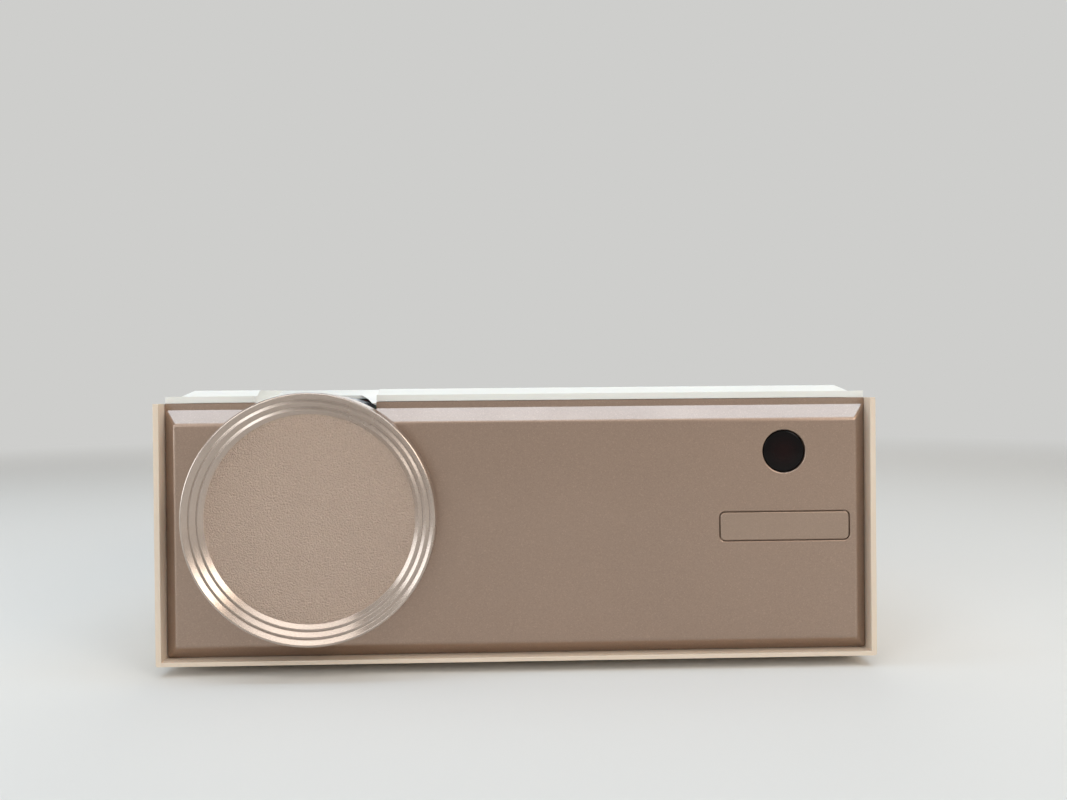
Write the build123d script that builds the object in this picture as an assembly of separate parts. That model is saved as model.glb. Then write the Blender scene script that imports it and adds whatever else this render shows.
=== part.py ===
from build123d import *
import math
import os

# A small video projector with a slim disc player in its right side.
# Millimetres. X right, Y back, Z up. The origin is under the middle of the object, on the
# surface that it stands on.

# ---- Housing ----
body_w = 260.0            # outside, wall to wall
body_d = 205.0            # front rim to rear face
wall_h = 94.0             # underside to the top of the side walls
side_wall = 2.0
floor_wall = 1.6
edge_round = 0.8
foot_h = 4.0              # clear height under the housing
seat_gap = 0.2            # between fixed pieces that drop into one another
run_gap = 0.05            # radial, between a shaft and its bore
slide_gap = 0.15          # between pieces that slide on each other

# ---- Front panel, with its bevelled edge sunk to the walls ----
panel_t = 2.0
panel_bevel = 5.2
panel_skirt = 3.2         # depth of the panel's return behind the bevel
panel_lip_h = 2.4         # upright strip over the top bevel
notch_w = 44.1            # gap in the panel's top edge over the lens
window_r, window_x, window_z = 7.6, body_w * 0.3708, 74.8
badge_w, badge_h, badge_t = body_w * 0.1808, 10.2, 1.2
badge_x, badge_z = body_w * 0.3712, 47.7
badge_round = 1.8

# ---- Top cover ----
cover_lift = 1.1          # shadow gap over the side walls
cover_t = 1.4
plateau_h = 2.2
plateau_run = 3.6         # width of the plateau's sloping edge
plateau_side = 4.6        # edge of the cover to the foot of the slope
plateau_front = 6.0
scoop_len = 44.0          # finger scoop over the focus ring
scoop_drop = 5.6
skirt_h = 5.0

# ---- Lens ----
lens_x, lens_z = body_w * -0.2827, 53.0     # axis, from the middle and from the underside
cap_r, cap_proud, cap_t = 44.5, 8.0, 1.4
cap_disc_r = 37.0
cap_sink = 3.0
cap_rings = 3
bezel_wall_r = 42.9
bezel_bore_r = 36.2
tube_r, tube_wall = 36.0, 3.0
tube_len = 60.0
ring_r, ring_w, ring_at = 43.5, 14.8, 12.2
ring_teeth = 60
barrel_wall, barrel_len, barrel_at = 3.0, 44.0, 2.4
focus_travel, focus_swing = 3.0, 45.0      # each way, mm and degrees
pin_r = 1.5

# ---- Optical engine ----
engine_w, engine_h, engine_wall = body_w * 0.3577, 78.0, 2.0
plate_w, plate_h, plate_t = engine_w - 7.0, engine_h - 10.0, 2.0
stage_first, stage_pitch = 6.0, 8.0      # field lens, image panel, field lens, heat glass
groove_wall = 1.2         # ribs on both sides of each plate
condenser_r, condenser_t, condenser_at = 32.0, 14.0, 52.0
led_w, led_t = 34.0, 4.0
sink_w, sink_h, sink_base, sink_fin_len, sink_fin_t = engine_w - 2.0, engine_h - 2.0, 5.0, 26.0, 1.4
sink_fins = 14
fan_over = 2.002          # the fan is this much larger than the engine's box is high
fan_size, fan_t, fan_hole_inset = engine_h + fan_over, 25.0, 4.3
fan_hub_r, fan_tip_r, fan_blades = 17.0, fan_size / 2 - 3.0, 7
fan_axle_r, fan_gap = 2.0, 0.3

# ---- Disc drive ----
disc_r = 60.0
tray_w, tray_len, tray_h = 128.0, 126.0, 7.5
tray_z = 66.0             # underside of the tray, from the housing's underside
tray_mid = body_d / 2     # middle line of the tray, behind the front rim
recess_deep = 2.5
recess_gap = 0.6
sheet = 1.0
lid_t = 0.8
drive_clear = 3.0         # under the tray
drive_over = 2.0          # over the tray
bezel_t = 2.1
rail_t, rail_h, rail_len = 0.85, 4.0, tray_len - 8.0
hub_r, hub_flange_r = 7.4, 11.5
motor_r, motor_h = 13.0, 3.0
shaft_r = 1.5
deck_t = 1.0
rod_r, rod_half = 1.0, 20.0        # guide rods, and their places from the tray's middle line
screw_r, screw_off = 1.2, 29.0
sled_motor_r = 2.4
sled_len, sled_h = 14.0, 4.6
eject_off, eject_w, eject_h, key_push = 44.0, 8.0, 3.2, 0.8
ear_up, ear_out, ear_half = 6.0, 8.0, 5.0      # the drive's fixing ears

# ---- Boards, sockets, keys ----
board_t, board_lift = 1.6, 6.0
port_z = 15.0
tact_h = 2.0
key_gap = 0.3
key_proud = 0.8
key_in = 46.02            # middle of the key pad, in from the right wall's outside
key_x, key_y = body_w / 2 - key_in, body_d * 0.624      # the same, from the middle and from the rim
key_ring, key_side = 15.0, 26.0
key_board_w, key_board_d = 72.0, 50.0

# ---- Feet and fixings ----
foot_r, foot_inset, foot_set = 8.0, 18.0, 12.0
jack_r, jack_len, jack_y = 4.0, 30.0, 34.0
pad_r, pad_lift = 9.0, 0.3
insert_r, insert_h, insert_y, thread_r = 5.5, 10.0, 75.0, 2.6
post_r, screw_hole_r, screw_head_r, screw_head_h, screw_len = 4.0, 1.6, 2.9, 2.4, 14.0
boss_h, post_split = 6.0, 88.0     # the tall pillars' foot and top, over the underside
standoff_r = 3.0

# ---- Worked out from the sizes above ----
rim_y = -(body_d + cap_proud) / 2 + cap_proud
rear_y = rim_y + body_d
base_z = foot_h
deck_z = base_z + floor_wall
wall_top = base_z + wall_h
inner_x = body_w / 2 - side_wall
axis_z = base_z + lens_z
cover_z = wall_top + cover_lift
cover_top = cover_z + cover_t
plateau_top = cover_top + plateau_h
panel_x = inner_x - seat_gap
panel_z0, panel_z1 = deck_z + seat_gap, wall_top - panel_lip_h
bevel_y = rim_y + panel_bevel
panel_back = bevel_y + panel_skirt
rear_t = 2.5
rear_in = rear_y - rear_t
posts = [(-inner_x + 8.0, rim_y + 42.0), (-inner_x + 8.0, rear_y - 12.0),
         (inner_x - 10.0, rim_y + 14.0), (inner_x - 10.0, rear_y - 12.0)]
drive_y = rim_y + tray_mid
tray_z0 = base_z + tray_z
tray_top = tray_z0 + tray_h
tray_x1 = body_w / 2 - bezel_t - 3.9
tray_x0 = tray_x1 - tray_len
case_z0 = tray_z0 - drive_clear - sheet
case_z1 = tray_top + drive_over
case_x0 = tray_x0 - 6.0
case_x1 = inner_x - seat_gap
disc_x = tray_x1 - disc_r - recess_gap - 1.4
recess_z = tray_top - recess_deep
skin_z = recess_z - 1.0
deck_under = tray_z0 + 0.2
deck_top = deck_under + deck_t
case_half = tray_w / 2 + slide_gap + rail_t + 0.2
slot_z0, slot_z1 = case_z0 + 0.3, case_z1 + lid_t - 0.1
slot_half = case_half
engine_y0 = rim_y + tube_len
fan_y1 = rear_in
fan_y0 = fan_y1 - fan_t
engine_y1 = fan_y0 - fan_gap - sink_fin_len - sink_base
engine_z0 = axis_z - engine_h / 2
condenser_y = engine_y0 + condenser_at
pin_y = rim_y + ring_at + ring_w / 2
ear_z = case_z0 + ear_up
drive_posts = [(body_w * 0.07, -1), (case_x1 - 26.0, -1), (body_w * 0.07, 1), (case_x1 - 10.0, 1)]
key_floor = plateau_top - cover_t - 0.2
key_board_z = key_floor - 9.3
board_z = deck_z + board_lift
board_top = board_z + board_t
main_x1 = inner_x - 16.0
main_w = body_w * 0.3154
main_area = (main_x1 - main_w, main_x1, rear_in - 118.0, rear_in - 1.0)
power_y0 = rim_y + insert_y + insert_r + 4.0
power_area = (body_w * -0.0923, body_w * 0.1, power_y0, power_y0 + 70.0)
jack_x, hdmi_x, usb_x0, usb_x1, vga_x = [
    main_area[0] + main_w * share for share in (0.0732, 0.2372, 0.4378, 0.6360, 0.8573)]
jack_nose_r, jack_bore_r, jack_deep = 3.0, 1.8, 13.0
hdmi_w, hdmi_h, usb_w, usb_h, vga_w, vga_h = 15.0, 6.0, 14.5, 7.0, 18.0, 9.0
port_cuts = [(hdmi_x, hdmi_w, hdmi_h), (usb_x0, usb_w, usb_h), (usb_x1, usb_w, usb_h), (vga_x, vga_w, vga_h)]
inlet_x, inlet_z, inlet_deep = body_w * 0.0115, 20.0, 17.0
inlet_half, inlet_r = 4.3, 5.5      # the two round ends of the inlet: half their spacing, and radius
pin_hole_r = 3.9
speaker_x, speaker_z, speaker_r = body_w * 0.277, base_z + 56.0, 22.0
rod_x0 = disc_x + motor_r + 0.8
rod_x1 = tray_x1 - 2.4
rod_z0 = tray_z0 + 1.6
sled_x0 = rod_x0 + 1.6
bezel_mid = (slot_z0 + slot_z1) / 2


def block(x, y, z):
    """A box from its low and high corners, given as one pair for each axis."""
    size = [b - a for a, b in (x, y, z)]
    return Pos(*[(a + b) / 2 for a, b in (x, y, z)]) * Box(*size)


def rod_x(y, z, r, x):
    return Pos((x[0] + x[1]) / 2, y, z) * Rot(0, 90, 0) * Cylinder(r, x[1] - x[0])


def rod_y(x, z, r, y):
    return Pos(x, (y[0] + y[1]) / 2, z) * Rot(90, 0, 0) * Cylinder(r, y[1] - y[0])


def rod_z(x, y, r, z):
    return Pos(x, y, (z[0] + z[1]) / 2) * Cylinder(r, z[1] - z[0])


def ring_y(x, z, r_out, r_in, y):
    return rod_y(x, z, r_out, y) - rod_y(x, z, r_in, (y[0] - 1, y[1] + 1))


def lens_solid(r, y, front, back):
    """A round lens on the optical axis: its rim runs over the pair y, with a dome at each end."""
    def dome(edge, bulge, way):
        if bulge == 0:
            return Line((0, edge), (r, edge))
        ball = (r * r + bulge * bulge) / (2 * bulge)
        sag = ball - math.sqrt(ball * ball - r * r / 4)
        return ThreePointArc((0, edge + way * bulge), (r / 2, edge + way * (bulge - sag)), (r, edge))

    ends = (y[0] - front, y[1] + back)
    outline = [dome(y[0], front, -1), Line((r, y[0]), (r, y[1])), dome(y[1], back, 1),
               Line((0, ends[1]), (0, ends[0]))]
    return Pos(lens_x, 0, axis_z) * revolve(make_face(outline), Axis.Y)


def bevelled(x, z, y_back, y_edge, bevel):
    """A panel form facing -Y: a straight part, then a frustum at 45 degrees in front of it."""
    back = block(x, (y_edge, y_back), z)
    outer = Plane(origin=((x[0] + x[1]) / 2, y_edge, (z[0] + z[1]) / 2), x_dir=(1, 0, 0), z_dir=(0, -1, 0))
    inner = outer.offset(bevel)
    w, h = x[1] - x[0], z[1] - z[0]
    front = loft([outer * Rectangle(w, h), inner * Rectangle(w - 2 * bevel, h - 2 * bevel)])
    return back + front


def spread(low, high, count):
    """Evenly spaced places from low to high, both ends included."""
    return [low + (high - low) * i / (count - 1) for i in range(count)]


# ---- Housing pieces ----
def base_shell():
    half = body_w / 2
    outer = block((-half, half), (rim_y, rear_y), (base_z, wall_top))
    outer = fillet(outer.edges().filter_by(Axis.Y).group_by(Axis.Z)[0], edge_round)
    shell = outer - block((-inner_x, inner_x), (rim_y - 1, rear_y + 1), (deck_z, wall_top + 1))
    for x, y in posts:
        shell += rod_z(x, y, post_r + 1, (deck_z, base_z + boss_h))
    shell += rod_z(0, rim_y + jack_y, jack_r + 4, (deck_z, base_z + 12))
    shell += rod_z(0, rim_y + insert_y, insert_r + 2.5, (deck_z, base_z + insert_h))
    for x, y in posts:
        shell -= rod_z(x, y, screw_hole_r, (base_z - 1, base_z + boss_h + 1))
        shell -= rod_z(x, y, screw_head_r + 0.2, (base_z - 1, base_z + screw_head_h + 0.2))
    shell -= rod_z(0, rim_y + jack_y, jack_r + run_gap, (base_z - 1, base_z + 13))
    shell -= rod_z(0, rim_y + insert_y, insert_r, (base_z - 1, base_z + insert_h + 1))
    slot_y = (drive_y - slot_half, drive_y + slot_half)
    shell -= block((inner_x - 1, half + 1), slot_y, (slot_z0, slot_z1))
    for y in spread(engine_y0 + 12, engine_y1 - 8, 9):
        for x in (-half, half):
            shell -= block((x - 3, x + 3), (y - 1.5, y + 1.5), (base_z + 22, base_z + 52))
    return shell


def board_holes(area):
    """The fixing holes in a board's corners."""
    x0, x1, y0, y1 = area
    return [(x, y) for x in (x0 + 5, x1 - 5) for y in (y0 + 5, y1 - 5)]


def standoffs():
    """Four tall pillars under the cover, and the short ones under the drive and the boards."""
    pillars = [rod_z(x, y, post_r, (base_z + boss_h, base_z + post_split))
               - rod_z(x, y, screw_hole_r, (base_z, base_z + post_split + 1)) for x, y in posts]
    for x, side in drive_posts:
        y = drive_y + side * (case_half + sheet + ear_out / 2)
        pillars.append(rod_z(x, y, standoff_r, (deck_z, ear_z)))
    for x, y in board_holes(power_area) + board_holes(main_area):
        pillars.append(rod_z(x, y, standoff_r, (deck_z, board_z)))
    return Compound(children=pillars)


def scoop_plane(x, drop):
    """The wedge over the finger scoop's sloping floor, drop millimetres below its surface."""
    y0, y1 = bevel_y - 1, rim_y + scoop_len
    slope = Plane.YZ * make_face(Polyline(
        (y0, plateau_top - scoop_drop - drop), (y1, plateau_top - drop),
        (y1, plateau_top + 5), (y0, plateau_top + 5), close=True))
    return Pos(x[0], 0, 0) * extrude(slope, x[1] - x[0])


def plateau(grow, top):
    """The raised part of the cover: grow widens it, top sets its upper face."""
    half = panel_x - plateau_side + grow
    y0, y1 = rim_y + plateau_front - grow + 2.4, rear_y - plateau_side + grow
    mid = (0, (y0 + y1) / 2)
    low = Pos(*mid, cover_top - 0.01) * Rectangle(2 * half, y1 - y0)
    high = Pos(*mid, top) * Rectangle(2 * (half - plateau_run), y1 - y0 - 2 * plateau_run)
    return loft([low, high])


def top_cover():
    y0 = bevel_y + 0.3
    cover = block((-panel_x, panel_x), (y0, rear_y), (cover_z, cover_top))
    cover += plateau(0, plateau_top)
    cover -= plateau(-cover_t, plateau_top - cover_t)
    inside = panel_x - plateau_side - cover_t - plateau_run
    cover -= block((-inside, inside), (rim_y + plateau_front + 8, rear_y - plateau_side - 8),
                   (cover_z - 1, plateau_top - cover_t))
    for side in (-1, 1):
        x = sorted((side * panel_x, side * (panel_x - cover_t)))
        cover += block(x, (panel_back + 4, rear_in - 4), (cover_z - skirt_h, cover_z + 0.01))
    dip = (lens_x - notch_w / 2, lens_x + notch_w / 2)
    cover -= scoop_plane(dip, 0)
    floor = scoop_plane((dip[0] - cover_t, dip[1] + cover_t), cover_t) - scoop_plane(dip, 0)
    envelope = block((-panel_x, panel_x), (bevel_y + panel_t + 0.2, rim_y + scoop_len), (cover_z - 9, cover_top))
    cover += floor & (envelope + plateau(0, plateau_top))
    cover -= rod_y(lens_x, axis_z, cap_r + 0.7, (rim_y - 1, rim_y + ring_at + ring_w + 1.4))
    for x, y in posts:
        top = cover_z + 0.2 if y < rim_y + 30 else plateau_top - cover_t
        cover += rod_z(x, y, post_r, (base_z + post_split, top))
        cover += rod_z(x, y, screw_hole_r - 0.3, (base_z + post_split - 5, base_z + post_split))
    for x in (key_x - 30, key_x + 30):
        cover += rod_z(x, rim_y + key_y, 3.0, (key_board_z + board_t, plateau_top - cover_t))
    for x, y, form in key_layout().values():
        cover -= Pos(x, y, plateau_top - 2) * extrude(form(key_gap), 6)
    return cover


def front_panel():
    z = (panel_z0, panel_z1)
    x = (-panel_x, panel_x)
    panel = bevelled(x, z, panel_back, bevel_y, panel_bevel)
    step = panel_t * (math.sqrt(2) - 1)
    hollow = bevelled((x[0] + panel_t, x[1] - panel_t), (z[0] + panel_t, z[1] - panel_t),
                      panel_back + 1, bevel_y + step, panel_bevel - panel_t + step)
    panel -= hollow
    panel += block(x, (bevel_y, bevel_y + panel_t), (panel_z1 - panel_t, wall_top))
    panel -= rod_y(lens_x, axis_z, bezel_wall_r + seat_gap, (rim_y - 1, panel_back + 1))
    edge = math.sqrt((bezel_wall_r + seat_gap) ** 2 - (notch_w / 2) ** 2)
    panel -= block((lens_x - notch_w / 2, lens_x + notch_w / 2), (rim_y - 1, panel_back + 1),
                   (axis_z + edge, wall_top + 1))
    panel -= rod_y(window_x, base_z + window_z, window_r + 0.1, (rim_y - 1, bevel_y))
    seat = Plane(origin=(badge_x, rim_y, base_z + badge_z), x_dir=(1, 0, 0), z_dir=(0, 1, 0))
    panel -= seat * extrude(RectangleRounded(badge_w + 0.4, badge_h + 0.4, badge_round + 0.2), badge_t)
    return panel


def rear_panel():
    x = (-panel_x, panel_x)
    panel = block(x, (rear_in, rear_y), (deck_z + seat_gap, cover_z - 0.3))
    grille = rod_y(lens_x, axis_z, fan_tip_r, (rear_in - 1, rear_y + 1))
    bars = rod_y(lens_x, axis_z, 9.0, (rear_in, rear_y))
    for r in spread(16.0, fan_tip_r - 7, 3):
        bars += ring_y(lens_x, axis_z, r + 1, r - 1, (rear_in, rear_y))
    for turn in (0, 60, 120):
        spoke = block((-fan_tip_r - 1, fan_tip_r + 1), (rear_in, rear_y), (-1.2, 1.2))
        bars += Pos(lens_x, 0, axis_z) * Rot(0, turn, 0) * spoke
    panel = (panel - grille) + bars
    for dz in spread(-16, 16, 7):
        run = math.sqrt(speaker_r ** 2 - dz ** 2) - 4
        slot = block((speaker_x - run, speaker_x + run), (rear_in - 1, rear_y + 1),
                     (speaker_z + dz - 1.2, speaker_z + dz + 1.2))
        panel -= slot
    for x0, w, h in port_cuts:
        panel -= block((x0 - w / 2 - seat_gap, x0 + w / 2 + seat_gap), (rear_in - 1, rear_y + 1),
                       (base_z + port_z - h / 2 - seat_gap, base_z + port_z + h / 2 + seat_gap))
    panel -= rod_y(jack_x, base_z + port_z, jack_nose_r + seat_gap, (rear_in - 1, rear_y + 1))
    panel -= Pos(inlet_x, rear_y, base_z + inlet_z) * Rot(90, 0, 0) * extrude(
        inlet_outline(seat_gap), rear_t + 1, both=True)
    return panel


def badge_plate():
    seat = Plane(origin=(badge_x, rim_y, base_z + badge_z), x_dir=(1, 0, 0), z_dir=(0, 1, 0))
    return seat * extrude(RectangleRounded(badge_w, badge_h, badge_round), badge_t)


def ir_window():
    z = base_z + window_z
    lens = rod_y(window_x, z, window_r, (rim_y + 0.3, rim_y + panel_t + 0.1))
    return lens + rod_y(window_x, z, window_r + 1.6, (rim_y + panel_t + 0.1, rim_y + panel_t + 1.6))


def rubber_feet():
    feet = []
    for x in (-body_w / 2 + foot_inset, body_w / 2 - foot_inset):
        for y in (rim_y + foot_inset + foot_set, rear_y - foot_inset - foot_set):
            pad = rod_z(x, y, foot_r, (0, foot_h))
            feet.append(fillet(pad.edges().group_by(Axis.Z)[0], 1.0))
    return Compound(children=feet)


def case_screws():
    screws = []
    for x, y in posts:
        head = rod_z(x, y, screw_head_r, (base_z, base_z + screw_head_h))
        head -= rod_z(x, y, 1.2, (base_z - 1, base_z + 1.2))
        shank = rod_z(x, y, screw_hole_r - 0.3, (base_z + screw_head_h, base_z + screw_head_h + screw_len))
        screws.append(head + shank)
    return Compound(children=screws)


def tripod_insert():
    y = rim_y + insert_y
    return rod_z(0, y, insert_r, (base_z, base_z + insert_h)) - rod_z(
        0, y, thread_r, (base_z - 1, base_z + insert_h + 1))


def front_foot_pad():
    y = rim_y + jack_y
    pad = rod_z(0, y, pad_r, (pad_lift, foot_h - 0.3))
    pad = fillet(pad.edges().group_by(Axis.Z)[0], 0.8)
    return pad - rod_z(0, y, jack_r + run_gap, (pad_lift + 1.4, foot_h))


def front_foot_screw():
    return rod_z(0, rim_y + jack_y, jack_r, (pad_lift + 1.5, pad_lift + 1.5 + jack_len))


# ---- Lens and focus mechanism ----
def lens_cap():
    """A cup over the bezel: rounded rim, three stepped rings and a sunk flat disc."""
    front = rim_y - cap_proud
    cap = rod_y(lens_x, axis_z, cap_r, (front, rim_y - 0.3))
    cap = fillet(cap.edges().group_by(Axis.Y)[0], 1.2)
    step = (cap_r - 1.6 - cap_disc_r) / cap_rings
    drop = cap_sink / cap_rings
    for i in range(cap_rings):
        r = cap_r - 1.6 - i * step
        floor = Plane(origin=(lens_x, front + i * drop - 0.001, axis_z), x_dir=(1, 0, 0), z_dir=(0, 1, 0))
        cone = loft([floor * Circle(r), floor.offset(drop + 0.001) * Circle(r - step * 0.62)])
        cap -= cone
    cap -= rod_y(lens_x, axis_z, cap_disc_r, (front, front + cap_sink))
    return cap - rod_y(lens_x, axis_z, bezel_wall_r + run_gap, (front + cap_sink + cap_t, rim_y + 1))


def lens_bezel():
    y0, y1 = rim_y - cap_proud + cap_sink + cap_t + 0.3, rim_y + ring_at - 0.3
    bezel = rod_y(lens_x, axis_z, bezel_wall_r, (y0, y1))
    flange = rod_y(lens_x, axis_z, bezel_wall_r + 3, (rim_y + panel_t + 0.2, rim_y + panel_t + 2.2))
    bezel += flange & block((-inner_x, inner_x), (rim_y, rim_y + 9), (axis_z - 38, axis_z + 32))
    mouth = Plane(origin=(lens_x, y0 - 0.001, axis_z), x_dir=(1, 0, 0), z_dir=(0, 1, 0))
    bezel -= loft([mouth * Circle(bezel_bore_r + 4.5), mouth.offset(3.6) * Circle(bezel_bore_r)])
    return bezel - rod_y(lens_x, axis_z, bezel_bore_r, (y0 - 1, y1 + 1))


def lens_tube():
    """The fixed sleeve: the focus ring turns on it and the barrel slides in it."""
    y0, y1 = rim_y + 1.0, engine_y0
    tube = rod_y(lens_x, axis_z, tube_r, (y0, y1))
    tube += rod_y(lens_x, axis_z, tube_r + 2.5, (rim_y + ring_at + ring_w + 0.3, rim_y + ring_at + ring_w + 4))
    flange = block((lens_x - 40, lens_x + 40), (y1 - 3, y1), (axis_z - 38, axis_z + 38))
    tube += flange
    tube -= rod_y(lens_x, axis_z, tube_r - tube_wall, (y0 - 1, y1 + 1))
    reach = focus_travel + 0.3
    slot = block((lens_x - pin_r - 0.1, lens_x + pin_r + 0.1), (pin_y - reach, pin_y + reach),
                 (axis_z - tube_r - 1, axis_z - tube_r + tube_wall + 1))
    for end in (pin_y - reach, pin_y + reach):
        slot += rod_z(lens_x, end, pin_r + 0.1, (axis_z - tube_r - 1, axis_z - tube_r + tube_wall + 1))
    return tube - slot


def lens_barrel():
    r = tube_r - tube_wall - run_gap
    y0 = rim_y + barrel_at
    barrel = ring_y(lens_x, axis_z, r, r - barrel_wall, (y0, y0 + barrel_len))
    barrel += ring_y(lens_x, axis_z, r - barrel_wall + 0.1, r - barrel_wall - 2, (y0 + 10, y0 + 12))
    barrel += ring_y(lens_x, axis_z, r - barrel_wall + 0.1, r - barrel_wall - 2, (y0 + 30, y0 + 32))
    return barrel - rod_z(lens_x, pin_y, pin_r, (axis_z - r - 1, axis_z - r + barrel_wall + 1))


def focus_ring():
    """Knurled outside; inside, a helical groove that drives the pin in the barrel."""
    y0 = rim_y + ring_at
    ring = ring_y(lens_x, axis_z, ring_r, tube_r + run_gap, (y0, y0 + ring_w))
    for i in range(ring_teeth):
        turn = 360 / ring_teeth * i
        cut = block((-0.9, 0.9), (y0 + 1.6, y0 + ring_w - 1.6), (ring_r - 0.8, ring_r + 2))
        ring -= Pos(lens_x, 0, axis_z) * Rot(0, turn, 0) * cut
    return ring - focus_groove()


def focus_groove():
    """The groove's space: a helix about the lens axis, through the pin at mid travel."""
    over = 6.0
    swing = 2 * (focus_swing + over)
    lead = 360 * focus_travel / focus_swing
    rise = lead * swing / 360
    helix = Helix(pitch=lead, height=rise, radius=tube_r + 1.0)
    start = helix @ 0
    face = Plane(origin=start, x_dir=(1, 0, 0), z_dir=helix % 0) * Rectangle(6.0, 2 * pin_r + 0.8)
    groove = sweep(face, path=helix, is_frenet=True)
    down = Rot(0, 0, -90 - swing / 2) * groove
    return Pos(lens_x, pin_y - rise / 2, axis_z) * Rot(-90, 0, 0) * Rot(0, 0, 180) * down


def focus_pin():
    r = tube_r - tube_wall - run_gap
    return rod_z(lens_x, pin_y, pin_r, (axis_z - tube_r - 3.2, axis_z - r + barrel_wall))


def front_element():
    r = tube_r - tube_wall - run_gap - barrel_wall - 0.05
    y0 = rim_y + barrel_at
    return lens_solid(r, (y0 + 6, y0 + 10), 4.0, 0)


def rear_element():
    r = tube_r - tube_wall - run_gap - barrel_wall - 0.05
    y0 = rim_y + barrel_at
    return lens_solid(r, (y0 + 32, y0 + 35), 0, 4.0)


# ---- Optical engine ----
def stage_y(i):
    """Front face of the plate in the slot numbered i."""
    return engine_y0 + stage_first + i * stage_pitch


def engine_case():
    half = engine_w / 2
    x = (lens_x - half, lens_x + half)
    z1 = engine_z0 + engine_h
    case = block(x, (engine_y0, engine_y1), (engine_z0, z1))
    case -= block((x[0] + engine_wall, x[1] - engine_wall), (engine_y0 + engine_wall, engine_y1 + 1),
                  (engine_z0 + engine_wall, z1 - engine_wall))
    case -= rod_y(lens_x, axis_z, tube_r - tube_wall, (engine_y0 - 1, engine_y0 + engine_wall + 1))
    deep = half - engine_wall - plate_w / 2 + 2
    for i in range(4):
        for y in (stage_y(i) - 0.2 - groove_wall, stage_y(i) + plate_t + 0.2):
            for side in (-1, 1):
                edge = lens_x + side * (half - engine_wall)
                ends = sorted((edge, edge - side * deep))
                case += block(ends, (y, y + groove_wall), (engine_z0 + 1, z1 - 1))
    frame = block((x[0] + 1, x[1] - 1), (condenser_y - 1, condenser_y + 3), (engine_z0 + 1, z1 - 1))
    case += frame - rod_y(lens_x, axis_z, condenser_r + seat_gap, (condenser_y - 2, condenser_y + 4))
    for foot_x in (x[0] + 10.5, x[1] - 10.5):
        for y in (engine_y0 + 8, engine_y1 - 8):
            case += rod_z(foot_x, y, 4.0, (deck_z, engine_z0))
    return case


def engine_plate(i):
    y = stage_y(i)
    return block((lens_x - plate_w / 2, lens_x + plate_w / 2), (y, y + plate_t),
                 (axis_z - plate_h / 2, axis_z + plate_h / 2))


def field_lens(i):
    """A Fresnel lens: a flat plate with concentric steps pressed in its front."""
    plate = engine_plate(i)
    y = stage_y(i)
    for r in (8.0, 14.0, 20.0, 26.0, 31.0):
        plate -= ring_y(lens_x, axis_z, r + 0.5, r - 0.5, (y - 1, y + 0.4))
    return plate


def lcd_panel():
    plate = engine_plate(1)
    y = stage_y(1)
    half_w, half_h = plate_w / 2 - 5, plate_w / 4 + 0.5
    plate -= block((lens_x - half_w, lens_x + half_w), (y - 1, y + 0.4), (axis_z - half_h, axis_z + half_h))
    tail = block((lens_x - 15, lens_x + 15), (y + 0.8, y + 1.2), (axis_z - plate_h / 2 - 3, axis_z - plate_h / 2))
    return plate + tail


def condenser_lens():
    y = (condenser_y - 1, condenser_y + 3)
    return rod_y(lens_x, axis_z, condenser_r, y) + lens_solid(condenser_r - 1, y, condenser_t - 4, 0)


def led_module():
    y1 = engine_y1
    board = block((lens_x - led_w / 2, lens_x + led_w / 2), (y1 - led_t, y1),
                  (axis_z - led_w / 2, axis_z + led_w / 2))
    return board + rod_y(lens_x, axis_z, 9.0, (y1 - led_t - 2, y1 - led_t))


def heat_sink():
    y0 = engine_y1
    sink = block((lens_x - sink_w / 2, lens_x + sink_w / 2), (y0, y0 + sink_base),
                 (axis_z - sink_h / 2, axis_z + sink_h / 2))
    for x in spread(lens_x - sink_w / 2 + sink_fin_t / 2, lens_x + sink_w / 2 - sink_fin_t / 2, sink_fins):
        fin = block((x - sink_fin_t / 2, x + sink_fin_t / 2), (y0 + sink_base - 0.5, fan_y0 - fan_gap),
                    (axis_z - sink_h / 2, axis_z + sink_h / 2))
        sink += fin
    return sink


def fan_frame():
    half = fan_size / 2
    frame = block((lens_x - half, lens_x + half), (fan_y0, fan_y1), (axis_z - half, axis_z + half))
    frame = fillet(frame.edges().filter_by(Axis.Y), 4.0)
    frame -= rod_y(lens_x, axis_z, fan_tip_r + 1, (fan_y0 - 1, fan_y1 + 1))
    bars = rod_y(lens_x, axis_z, fan_hub_r - 1, (fan_y1 - 3, fan_y1))
    for turn in (45, 165, 285):
        strut = block((0, fan_tip_r + 2), (fan_y1 - 3, fan_y1), (-1.8, 1.8))
        bars += Pos(lens_x, 0, axis_z) * Rot(0, turn, 0) * strut
    bars += rod_y(lens_x, axis_z, fan_axle_r, (fan_y0 + 6, fan_y1 - 2))
    frame += bars
    for dx in (-1, 1):
        for dz in (-1, 1):
            hold = half - fan_hole_inset
            hole = rod_y(lens_x + dx * hold, axis_z + dz * hold, 2.1, (fan_y0 - 1, fan_y1 + 1))
            frame -= hole
    return frame


def fan_rotor():
    y0, y1 = fan_y0 + 1, fan_y1 - 3.4
    hub = rod_y(lens_x, axis_z, fan_hub_r, (y0, y1))
    hub = fillet(hub.edges().group_by(Axis.Y)[0], 1.5)
    depth = y1 - y0 - 2
    blade = loft([
        Plane(origin=(r, (y0 + y1) / 2, 0), x_dir=(0, math.cos(a), math.sin(a)), z_dir=(1, 0, 0))
        * Rectangle(depth, 1.4)
        for r, a in ((fan_hub_r - 0.6, math.radians(30)), (fan_tip_r, math.radians(48)))])
    for i in range(fan_blades):
        hub += Pos(lens_x, 0, axis_z) * Rot(0, 360 / fan_blades * i, 0) * blade
    return hub - rod_y(lens_x, axis_z, fan_axle_r + run_gap, (y0 + 3, y1 + 1))


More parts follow.
